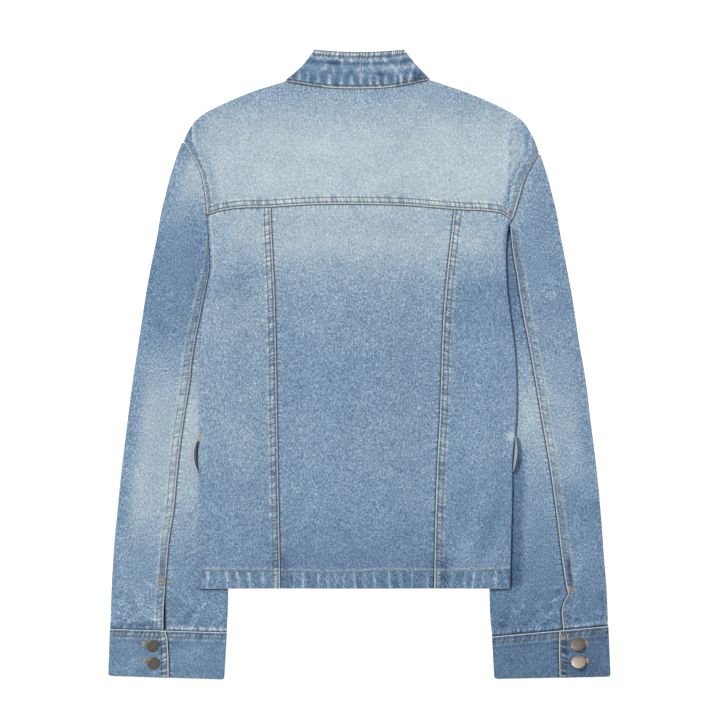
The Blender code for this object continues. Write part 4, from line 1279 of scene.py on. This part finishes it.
COLLAR_TOP = [(-53.4, 377.9), (-25.0, 375.8), (0.0, 375.1), (25.0, 375.8), (53.0, 377.8)]
COLLAR_ROWS = (0.7, 5.9)
COLLAR_CLOTH, COLLAR_DEPTH = 1.5, 43.0
STAND_DENIM = denim("stand denim", 1.0, 0.75, 0.8, 1.0)
COLLAR_WAIST = {"left": 3.6, "right": 1.2}
collar_top_y = along(COLLAR_TOP)
COLLAR_BANDS = [
    # height above the foot, half height, change of the wash, change in the pale bars
    (3.5, 2, 0.046, 0.275), (7, 3.6, 0.023, 0.525), (12.5, 3, 0.069, 0.3),
    (21, 4.5, 0.345, -0.05), (28.4, 2.4, -0.322, 0.125), (33.4, 2.4, 0.345, 0.2),
    (40.2, 1.7, 0.529, 0),
]
COLLAR_BARS = [
    # x, half width: the pale bars that rise from the foot
    (-71.8, 2.4), (-61.2, 2), (-49.2, 2.6), (-35.8, 3), (-21.2, 2.4), (-9.2, 2.4),
    (1.9, 2), (13, 2.6), (22, 1.8), (31.9, 2.6), (43, 2), (50.4, 1.8),
    (61, 2.6),
]
COLLAR_PATCHES = [
    # x, y, reach x, reach y, change of the wash
    (-10, 351, 4.6, 4.4, -0.60), (-38, 352, 5, 4, -0.46), (-25, 351.5, 3.6, 3.6, -0.40),
    (6, 351, 5, 3.4, -0.33), (24, 350, 4, 4, -0.48), (-58, 361, 8, 4, -0.18),
    (-30, 363.6, 10, 2.6, -0.39), (30, 349, 9, 3.4, -0.42), (55, 362, 6, 3.2, -0.39),
    (66, 352, 5, 5, -0.24), (70, 343.5, 5, 3, -0.16), (38, 357, 8, 4, 0.09),
]
COLLAR_CREASES = [
    # x, y, to x, to y, half width, height, wash
    (27.4, 367.1, 41.8, 357.6, 1.7, 0.3, 0.54), (41.8, 357.6, 50.6, 343, 1.6, 0.3, 0.48),
    (47.6, 368, 48.4, 355, 1.6, 0.2, 0.48), (66, 362, 62, 345, 1.7, 0.2, 0.42),
    (14, 366, 15.4, 356, 1.5, 0.2, 0.38), (-20.4, 368, -20, 356, 1.5, 0.2, 0.48),
    (-41, 367, -40, 357, 1.4, 0.2, 0.32), (0, 350, 8, 344, 1.5, 0.2, 0.38),
]


def build_collar():
    low, high = 0.9, 3.0
    turn = (high - low) / 2
    top_corner = {"left": COLLAR_TOP[0], "right": COLLAR_TOP[-1]}
    foot_steps, top_steps = (0.0, 0.6, 1.2, 1.9, 2.8, 4.2), edge_steps(*COLLAR_ROWS)[::-1]
    v = band_shares(COLLAR_DEPTH, foot_steps, top_steps, 1.2)[:, None]
    front_turn = np.linspace(0.02, np.pi / 2, 40)[None, :]

    def side_line(side):
        """The folded side of the collar, from its foot to its top."""
        corner, top = NECK_CORNER[side], top_corner[side]
        x = mix(corner[0], top[0], v) - OUTWARD[side] * COLLAR_WAIST[side] * np.sin(np.pi * v)
        return x, mix(corner[1] + SEAM_GAP, top[1], v)

    def front_half(side):
        """From the centre front round to the fold, under the back half."""
        side_x, side_y = side_line(side)
        drop = NECK_CORNER[side][1] - FRONT_NECK_Y
        share, fall = np.sin(front_turn), np.cos(front_turn)
        x = side_x * share + OUTWARD[side] * GAP / 2 * (1 - share)
        rise = 1.7 if side == "right" else 0.0
        return x, side_y - drop * fall, low + rise * smooth_drop(8, 34, abs(x))

    def turned(side):
        side_x, side_y = side_line(side)
        angle = FOLD_ANGLES[None, ::-1]
        x = side_x + OUTWARD[side] * turn * (np.cos(angle) - 1)
        return x, side_y + 0 * angle, (low + high) / 2 + turn * np.sin(angle) + 0 * v

    u = np.linspace(0.0, 1.0, 142)[None, 1:-1]
    neck_x, top_x = (
        mix(corner["left"][0] + turn, corner["right"][0] - turn, u)
        for corner in (NECK_CORNER, top_corner)
    )
    back_x = mix(side_line("left")[0] + turn, side_line("right")[0] - turn, u)
    back_y = mix(back_neck_y(neck_x) + SEAM_GAP, collar_top_y(top_x), v)
    parts = [
        front_half("left"),
        turned("left"),
        (back_x, back_y, high + 0 * back_x),
        tuple(part[:, ::-1] for part in turned("right")),
        tuple(part[:, ::-1] for part in front_half("right")),
    ]
    x, y, z = (np.concatenate([part[k] for part in parts], axis=1) for k in range(3))
    is_back = (z > (low + high) / 2 + 0.3) & (y > 325)
    cloth = fresh_cloth(x, y, z, 0.30)
    height = COLLAR_DEPTH * v + 0 * x
    shown = np.where(is_back, 0.0, FAR)
    felled_edge(cloth, COLLAR_DEPTH - height + shown, x, COLLAR_ROWS, 0.9, 3.6, cream=0.2, fade=0.0)
    felled_edge(cloth, height + shown, x, (FIRST_ROW,), 0.8, 9.0, cream=0.2, fade=0.0)
    bars = np.zeros(x.shape)
    for bar_x, half_width in COLLAR_BARS:
        bars = np.maximum(bars, hump(x - bar_x, half_width))
    bars = 1.5 * bars - 0.5
    for middle, half_height, change, barred in COLLAR_BANDS:
        band = hump(height - middle, half_height)
        cloth["wash_and_shade"] += band * (change + barred * bars)
    mark(cloth, COLLAR_PATCHES, COLLAR_CREASES)
    cloth["crackle"] = 0.7 * is_back * smooth_step(11, 16, height)
    cloth["z"] = np.where(is_back, cloth["z"], z)
    return lay("collar_cloth", cloth, "collar", COLLAR_CLOTH, STAND_DENIM)


collar = build_collar()

# ---------------------------------------------------------------------------------------------
# Belt loops: narrow folded strips of denim sewn on edge beside the side seams, so that they bulge
# out between their two bar tacks and show their pale inner face.

LOOP_WIDTH, LOOP_FOOT = 7.0, 3.6


def build_loop(side):
    """A strip on edge, bowed out from the side edge, its upper edge further than its lower one."""
    (top, bottom, foot, crest, roundness, wall), out = LOOPS[side], OUTWARD[side]
    height = np.linspace(0.0, 1.0, 9)[:, None]
    share = np.linspace(0.0, 1.0, 28)[None, :]
    y = mix(bottom, top, share) + 0 * height
    bow = np.sin(np.pi * share) ** roundness
    x = side_edge_x[side](y) + out * (0.8 + bow * mix(foot, crest, height))
    z = LOOP_FOOT + LOOP_WIDTH * height + 0 * y
    to_edge = LOOP_WIDTH * np.minimum(height, 1 - height) + 0 * y
    if side == "left":
        # The left loop's face is painted dark, painted shade inside the loop
        cloth = fresh_cloth(x, y, z, 0.05)
        cloth["rim"] = to_edge - 0.8
    else:
        # The right loop's pale inner face, with painted shade along both edges
        cloth = fresh_cloth(x, y, z, 0.85 - 0.9 * smooth_drop(0.2, 1.4, to_edge))
    cloth["run"] = y
    if side == "right":
        cloth = {key: value[:, ::-1] for key, value in cloth.items()}
    name, solid = f"loop_cloth_{side}", f"loop_{side}"
    return lay(name, cloth, solid, wall=wall, face_down=side == "right")


loops = {side: build_loop(side) for side in OUTWARD}

# ---------------------------------------------------------------------------------------------
# Buttons: turned shank buttons of aged metal, four on the cuffs with a rolled rim and a shallow
# dish, and six flat ones down the front opening, under the jacket.

BUTTON_LEAN = {"left": (0.22, 0.22), "right": (-0.46, 0.0)}
BUTTON_SIZE = {"left": 0.95, "right": 1.07}
CUFF_BUTTON_Z = 6.4
CUFF_BUTTON = [
    # radius, height, patina
    (0, 3, 0.25), (3, 2.95, 0.25), (5.4, 2.8, 0.3), (6.6, 2.65, 0.35), (7.2, 2.6, 0.3),
    (7.7, 2.35, 0), (8.05, 1.95, 0.2), (8, 1.5, 0.9), (7.4, 0.9, 1), (3, 0.5, 1),
    (2.6, 0, 1), (0, 0, 1),
]
FRONT_BUTTON = [
    # radius, height, patina
    (0, 1.6, 1), (7.3, 1.6, 0.9), (8.1, 1.3, 0.5), (8.25, 0.9, 0.2), (8, 0.3, 0.1),
    (7.3, 0.05, 0.1), (6.5, 0.35, 0.8), (5.8, 0.5, 0.5), (0, 0.3, 0.2),
]
FRONT_BUTTON_YS = (226.0, 135.0, 44.0, -47.0, -138.0, -229.0)


def aged_metal(name, face, patina):
    material, tree, shader = finish(name, {"Metallic": 0.9})
    crevice = node(tree, "Attribute", attribute_name="patina").outputs["Fac"]
    scuffs = speckle(tree, 700.0, 3.0)
    share = maths(tree, "MULTIPLY_ADD", scuffs, 0.9, -0.35)
    share = maths(tree, "ADD", share, crevice, clamp=True)
    colour = blend_colour(tree, share, face, patina)
    tree.links.new(colour, shader.inputs["Base Color"])
    rough = maths(tree, "MULTIPLY_ADD", scuffs, 0.35, 0.28)
    tree.links.new(rough, shader.inputs["Roughness"])
    roughen(tree, shader, scuffs, 0.25, 0.0002)
    return material


DARK_METAL = aged_metal("dark aged metal", (146, 136, 124), (66, 59, 52))
PALE_METAL = aged_metal("worn aged metal", (206, 196, 178), (116, 104, 90))


def turn_button(name, solid, outline, place, base_z, material, lean=(0.0, 0.0), steps=40):
    """Spin an outline into a button standing on its place, leaning about the x and y axes."""
    x, y = place
    shape = bmesh.new()
    verts = [shape.verts.new((radius * MM, 0.0, z * MM)) for radius, z, _ in outline]
    edges = [shape.edges.new(pair) for pair in zip(verts, verts[1:])]
    bmesh.ops.spin(
        shape, geom=verts + edges, cent=(0, 0, 0), axis=(0, 0, 1), dvec=(0, 0, 0),
        angle=2 * math.pi, steps=steps, use_merge=True,
    )
    bmesh.ops.remove_doubles(shape, verts=shape.verts, dist=0.00001)
    bmesh.ops.recalc_face_normals(shape, faces=shape.faces)
    mesh = bpy.data.meshes.new(name)
    shape.to_mesh(mesh)
    shape.free()
    marks = mesh.attributes.new("patina", "FLOAT", "POINT")
    for vert, worn in zip(mesh.vertices, marks.data):
        radius, height = math.hypot(vert.co.x, vert.co.y) / MM, vert.co.z / MM
        closest = min(outline, key=lambda p: abs(p[0] - radius) + abs(p[1] - height))
        worn.value = closest[2]
    leaning = Euler((*lean, 0.0)).to_matrix().to_4x4()
    mesh.transform(Matrix.Translation((x * MM, y * MM, base_z * MM)) @ leaning)
    button = piece_of(name, mesh, material)
    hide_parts(solid)


for side in OUTWARD:
    shank_button = [(radius * BUTTON_SIZE[side], *rest) for radius, *rest in CUFF_BUTTON]
    for number, place in enumerate(CUFFS[side]["buttons"], 1):
        metal = PALE_METAL if (side, number) == ("right", 2) else DARK_METAL
        turn_button(f"shank_button_{side}_{number}", f"cuff_button_{side}_{number}",
                    shank_button, place, CUFF_BUTTON_Z, metal, BUTTON_LEAN[side])
for number, button_y in enumerate(FRONT_BUTTON_YS, 1):
    turn_button(f"opening_button_{number}", f"front_button_{number}",
                FRONT_BUTTON, (0.0, button_y), 0.0, DARK_METAL)

# ---------------------------------------------------------------------------------------------
# Stitching: tan thread in rows along every felled edge, and golden thread in the bar tacks and the
# buttonholes. Each stitch is its own short length of thread.

STITCH_PITCH, STITCH_LENGTH, THREAD = 3.1, 2.7, 0.95


def thread(name, light, dark):
    material, tree, shader = finish(name, {"Roughness": 0.7, "Specular IOR Level": 0.3})
    share = maths(tree, "MULTIPLY_ADD", speckle(tree, 160.0, 3.0), 3.0, -1.0, clamp=True)
    tree.links.new(blend_colour(tree, share, light, dark), shader.inputs["Base Color"])
    return material


PALE_THREAD = thread("pale thread", (184, 184, 170), (140, 148, 150))
TAN_THREAD = thread("tan thread", (172, 156, 126), (122, 114, 100))
BROWN_THREAD = thread("brown thread", (120, 106, 88), (84, 80, 78))
GOLD_THREAD = thread("golden thread", (222, 180, 114), (178, 142, 92))
HEM_THREAD = thread("hem thread", (168, 168, 148), (108, 112, 104))
SEAM_THREAD = thread("worn seam thread", (184, 186, 172), (146, 150, 146))

bpy.context.view_layer.update()
depsgraph = bpy.context.evaluated_depsgraph_get()


def sew(name, pieces, rows, materials, tacks=(), from_below=False):
    """Lay stitches on the cloth along rows, each a list of places, and add bar tacks.

    The rows take the materials in turn, and the tacks the last one.
    """
    shapes = [BVHTree.FromObject(piece, depsgraph) for piece in pieces]
    down = 1.0 if from_below else -1.0

    def surface(x, y):
        start = Vector((x * MM, y * MM, -down * 0.05))
        hits = [shape.ray_cast(start, Vector((0, 0, down))) for shape in shapes]
        found = [hit for hit in hits if hit[0] is not None]
        return max(found, key=lambda hit: -down * hit[0].z) if found else None

    work = bmesh.new()
    threads = []

    def stitch(x, y, angle, length, width, height, which):
        hit = surface(x, y)
        if hit is None:
            return
        normal = hit[1] if hit[1].z * -down > 0 else -hit[1]
        along_row = Vector((math.cos(angle), math.sin(angle), 0.0))
        along_row = (along_row - normal * along_row.dot(normal)).normalized()
        sideways = normal.cross(along_row)
        turn = Matrix((sideways, normal, along_row)).transposed().to_4x4()
        size = Matrix.Diagonal((width / 2 * MM, height * MM, length / 2 * MM, 1.0))
        place = Matrix.Translation(hit[0] + normal * 0.06 * MM)
        bmesh.ops.create_uvsphere(
            work, u_segments=6, v_segments=4, radius=1.0, matrix=place @ turn @ size
        )
        threads.append(which)

    for number, row in enumerate(rows):
        which = number % len(materials)
        points = np.array(row, dtype=float)
        lengths = np.hypot(*np.diff(points, axis=0).T)
        reach = np.concatenate([[0.0], np.cumsum(lengths)])
        count = int(reach[-1] // STITCH_PITCH)
        for k in range(count):
            middle = (k + 0.5) * STITCH_PITCH + 0.12 * math.sin(k * 2.3)
            ends = (middle - 0.6, middle + 0.6)
            (x0, x1), (y0, y1) = (np.interp(ends, reach, points[:, c]) for c in (0, 1))
            angle = math.atan2(y1 - y0, x1 - x0) + 0.05 * math.sin(k * 1.7)
            stitch((x0 + x1) / 2, (y0 + y1) / 2, angle, STITCH_LENGTH, THREAD, 0.35, which)
    for x, y, angle, length, width in tacks:
        turn = math.radians(angle)
        count = max(int(length / 0.5), 2)
        for k in range(count):
            step = (k / (count - 1) - 0.5) * (length - 0.6)
            skew = 0.16 if k % 2 else -0.16
            stitch(x + step * math.cos(turn), y + step * math.sin(turn),
                   turn + math.pi / 2 + skew, width, 0.62, 0.5, len(materials) - 1)
    mesh = bpy.data.meshes.new(name)
    work.to_mesh(mesh)
    work.free()
    sewn = piece_of(name, mesh, *materials)
    faces = np.repeat(threads, len(mesh.polygons) // len(threads))
    mesh.polygons.foreach_set("material_index", faces)
    return sewn


def upright_row(line, start, end, shift=0.0):
    """A row beside a seam given as x for each y."""
    ys = np.linspace(start, end, 90)
    return np.stack([line(ys) + shift, ys], axis=1)


def level_row(line, start, end, shift):
    """A row beside a seam given as y for each x."""
    xs = np.linspace(start, end, 90)
    return np.stack([xs, line(xs) + shift], axis=1)


def armhole_row(side, distance):
    """A row of the yoke beside an armhole, at a distance that may change with y."""
    out, tip_y = OUTWARD[side], SHOULDER[side][0][1]
    foot_y = yoke_seam_y(back_edge(side, 176.0)) + FIRST_ROW

    def line(y):
        return armhole_x[side](y) - out * distance(y) / ARMHOLE_SLANT

    return upright_row(line, foot_y, tip_y - 1)


yoke_rows = []
for row in (FIRST_ROW, SECOND_ROW):
    ends = (yoke_corner_x["left"] + 1.5, yoke_corner_x["right"] - 1.5)
    yoke_rows.append(level_row(yoke_seam_y, *ends, row))
    for side in OUTWARD:
        distance = armhole_second[side] if row == SECOND_ROW else along([(0.0, row), (1.0, row)])
        yoke_rows.append(armhole_row(side, distance))
yoke_threads = [BROWN_THREAD, PALE_THREAD, TAN_THREAD, TAN_THREAD, PALE_THREAD, SEAM_THREAD]
sew("yoke_stitching", [yoke], yoke_rows, yoke_threads)

two_rows = [BROWN_THREAD, TAN_THREAD]
HEM_SHIFTS = (-0.4, 0.4)
LOOP_TACKS = {
    # x, y, angle, length, width, thread
    "left": (-191.2, -86.0, 88, 7.6, 3.6, GOLD_THREAD),
    "right": (187.4, -88.0, 92, 5.0, 3.4, PALE_THREAD),
}
for side, out in OUTWARD.items():
    inner = panel_seam_x[side](HEM_Y) + out * 0.6
    outer = side_edge_x[side](HEM_Y) - out * 1.0
    panel = back_panels[side]
    rows = [upright_row(panel_seam_x[side], HEM_Y + 1, 183, out * row)
            for row in (FIRST_ROW, SECOND_ROW)]
    rows += [level_row(hem_row_y, *sorted((inner, outer)), shift) for shift in HEM_SHIFTS]
    threads = [*two_rows, HEM_THREAD, HEM_THREAD]
    sew(f"side_back_stitching_{side}", [panel], rows, threads)
    *tack, colour = LOOP_TACKS[side]
    sew(
        f"loop_tack_{side}", [panel, loops[side]], [], [colour], [tack]
    )
ends = (panel_seam_x["left"](HEM_Y) + 1, panel_seam_x["right"](HEM_Y) - 1)
rows = [level_row(hem_row_y, *ends, shift) for shift in HEM_SHIFTS]
sew("hem_stitching", [back_panels["centre"]], rows, [HEM_THREAD])

SLIT_TACKS = {
    # x from the back seam, y from the slit's top, angle, length, width
    "left": [(-4.8, 0.0, 0, 8.6, 1.9), (-1.0, -1.0, 84, 10.5, 1.9), (-9.2, -1.0, 88, 10.0, 1.7)],
    "right": [(3.4, -9.6, 100, 6.0, 2.2), (9.6, -9.0, 84, 7.4, 2.2)],
}
SECOND_ROW_TOP = {
    # what is left of the underarm, then where the row goes on up beside the armhole
    "left": (6.0, [(-185.6, 123.0), (-183.6, 136.0), (-182.6, 150.0)]),
    "right": (1.0, []),
}


def fell_rows(side, start, end, second_end):
    """The two rows of a sleeve's back seam, each given where it ends."""
    def seam(y):
        return back_seam_x[side](y) + OUTWARD[side] * slit(side, y)

    def second(y):
        return seam(y) + OUTWARD[side] * fell_width[side](y)

    first_row = upright_row(seam, start, end, OUTWARD[side] * FIRST_ROW)
    return [first_row, upright_row(second, start, second_end)]


for side, out in OUTWARD.items():
    outer_cloth = [sleeves[side, "outer"]]
    below, beyond = SECOND_ROW_TOP[side]
    rows = fell_rows(side, SLIT_TOP_Y, UNDERARM[side] - 4, UNDERARM[side] - below)
    if beyond:
        rows[1] = np.concatenate([rows[1], beyond])
    rows.append(rows[1] + (0.6 * out, 0.0))
    threads = [TAN_THREAD, SEAM_THREAD, SEAM_THREAD]
    sew(f"sleeve_stitching_{side}", outer_cloth, rows, threads)
    cuff_y = CUFFS[side]["outer"][0][1] - 1
    slit_rows = fell_rows(side, cuff_y, SLIT_TOP_Y, SLIT_TOP_Y)
    seam_x = float(back_seam_x[side](SLIT_TOP_Y))
    tacks = [(seam_x + dx, SLIT_TOP_Y + dy, *tack) for dx, dy, *tack in SLIT_TACKS[side]]
    threads = [TAN_THREAD, TAN_THREAD, GOLD_THREAD]
    sew(
        f"slit_stitching_{side}", outer_cloth, slit_rows, threads, tacks
    )

LAP_TACKS = [(242.6, -326.5, 86, 6.5, 2.0), (250.0, -325.5, 84, 6.5, 2.2)]


def lap_line(side, y):
    """The x of the lap's edge."""
    cuff = CUFFS[side]
    top, foot = (corner[1] for corner in cuff["outer"])
    share = (top - y) / (top - foot)
    return mix(*cuff["lap_edge"], share) + lap_bow(side, share)


for side, out in OUTWARD.items():
    cuff = CUFFS[side]
    lap_x = cuff["lap_edge"][0]
    halves = [(cuff["outer"][0][0] - out, lap_x + out * 1.5),
              (cuff["inner"][0][0] + out, lap_x - out)]
    rows = [level_row(partial(cuff_line, side), *sorted(ends), -row)
            for ends in halves for row in CUFF_ROWS]
    sew(f"cuff_stitching_{side}", [cuffs[side]], rows, two_rows)
    top_y, foot_y = float(cuff_line(side, lap_x)), float(cuff_line(side, lap_x, 1.0))
    rows = [upright_row(partial(lap_line, side), foot_y + 2, top_y - 2, out * row)
            for row in LAP_ROWS]
    tacks = []
    for x, y in cuff["buttons"]:
        tacks.append((x + out * 10.8, y + 2.0, 90, 5.4, 4.2))
        tacks.append((x + out * 8.6, y + 2.8, 0, 3.0, 2.6))
    threads = [TAN_THREAD, BROWN_THREAD, GOLD_THREAD]
    tacks += LAP_TACKS if side == "right" else []
    sew(
        f"buttonhole_stitching_{side}", [cuffs[side]], rows, threads, tacks
    )

rows = []
for row in COLLAR_ROWS:
    ends = (COLLAR_TOP[0][0] - 0.6 * row + 1, COLLAR_TOP[-1][0] + 0.6 * row - 1)
    rows.append(level_row(collar_top_y, *ends, -row))
ends = (BACK_NECK[0][0] + 3, BACK_NECK[-1][0] - 3)
rows.append(level_row(back_neck_y, *ends, SEAM_GAP + FIRST_ROW))
sew("collar_stitching", [collar], rows, two_rows)

for side, out in OUTWARD.items():
    edge = -out * FRONT_LAP
    ends = sorted((edge + out, side_edge_x[side](HEM_Y) - out))
    rows = [upright_row(np.zeros_like, HEM_Y + 2, FRONT_NECK_Y - 3, edge + out * 2.0),
            level_row(np.zeros_like, *ends, HEM_Y + HEM_DEPTH)]
    name = f"front_stitching_{side}"
    sew(name, [fronts[side]], rows, [TAN_THREAD], from_below=True)

# ---------------------------------------------------------------------------------------------


# ---------------------------------------------------------------------------------------------
# Studio: a white floor, even white light from all round, a soft key from the upper left, and the
# camera straight above.

FLOOR_SIZE = 8.0
floor_shape = bmesh.new()
bmesh.ops.create_grid(floor_shape, x_segments=1, y_segments=1, size=FLOOR_SIZE / 2)
floor_mesh = bpy.data.meshes.new("floor")
floor_shape.to_mesh(floor_mesh)
floor_shape.free()
floor_mesh.transform(Matrix.Translation((0, 0, -0.0004)))
floor = bpy.data.objects.new("floor", floor_mesh)
bpy.context.scene.collection.objects.link(floor)
WHITE = (1.0, 1.0, 1.0, 1.0)
paint = {"Base Color": (0.4, 0.4, 0.4, 1.0), "Roughness": 1.0, "Specular IOR Level": 0.0}
paint |= {"Emission Color": WHITE, "Emission Strength": 0.85}
floor_mesh.materials.append(finish("white floor", paint)[0])

world = bpy.data.worlds.new("studio")
bpy.context.scene.world = world
world.use_nodes = True
background = world.node_tree.nodes["Background"].inputs
background["Color"].default_value = WHITE
background["Strength"].default_value = 0.55

key_light = bpy.data.lights.new("key", "SUN")
key_light.energy = 2.0
key_light.angle = math.radians(12)
key = bpy.data.objects.new("key", key_light)
key.rotation_euler = Vector((-0.62, 0.62, 1.0)).to_track_quat("Z", "Y").to_euler()
bpy.context.scene.collection.objects.link(key)

camera_data = bpy.data.cameras.new("camera")
camera_data.sensor_width = 36.0
camera_data.lens = 250.0
camera_data.clip_end = 50.0
camera = bpy.data.objects.new("camera", camera_data)
camera.location = (0.00096, 0.0057, 6.0)
scene = bpy.context.scene
scene.collection.objects.link(camera)
scene.camera = camera
scene.view_settings.view_transform = "Standard"
scene.view_settings.look = "None"
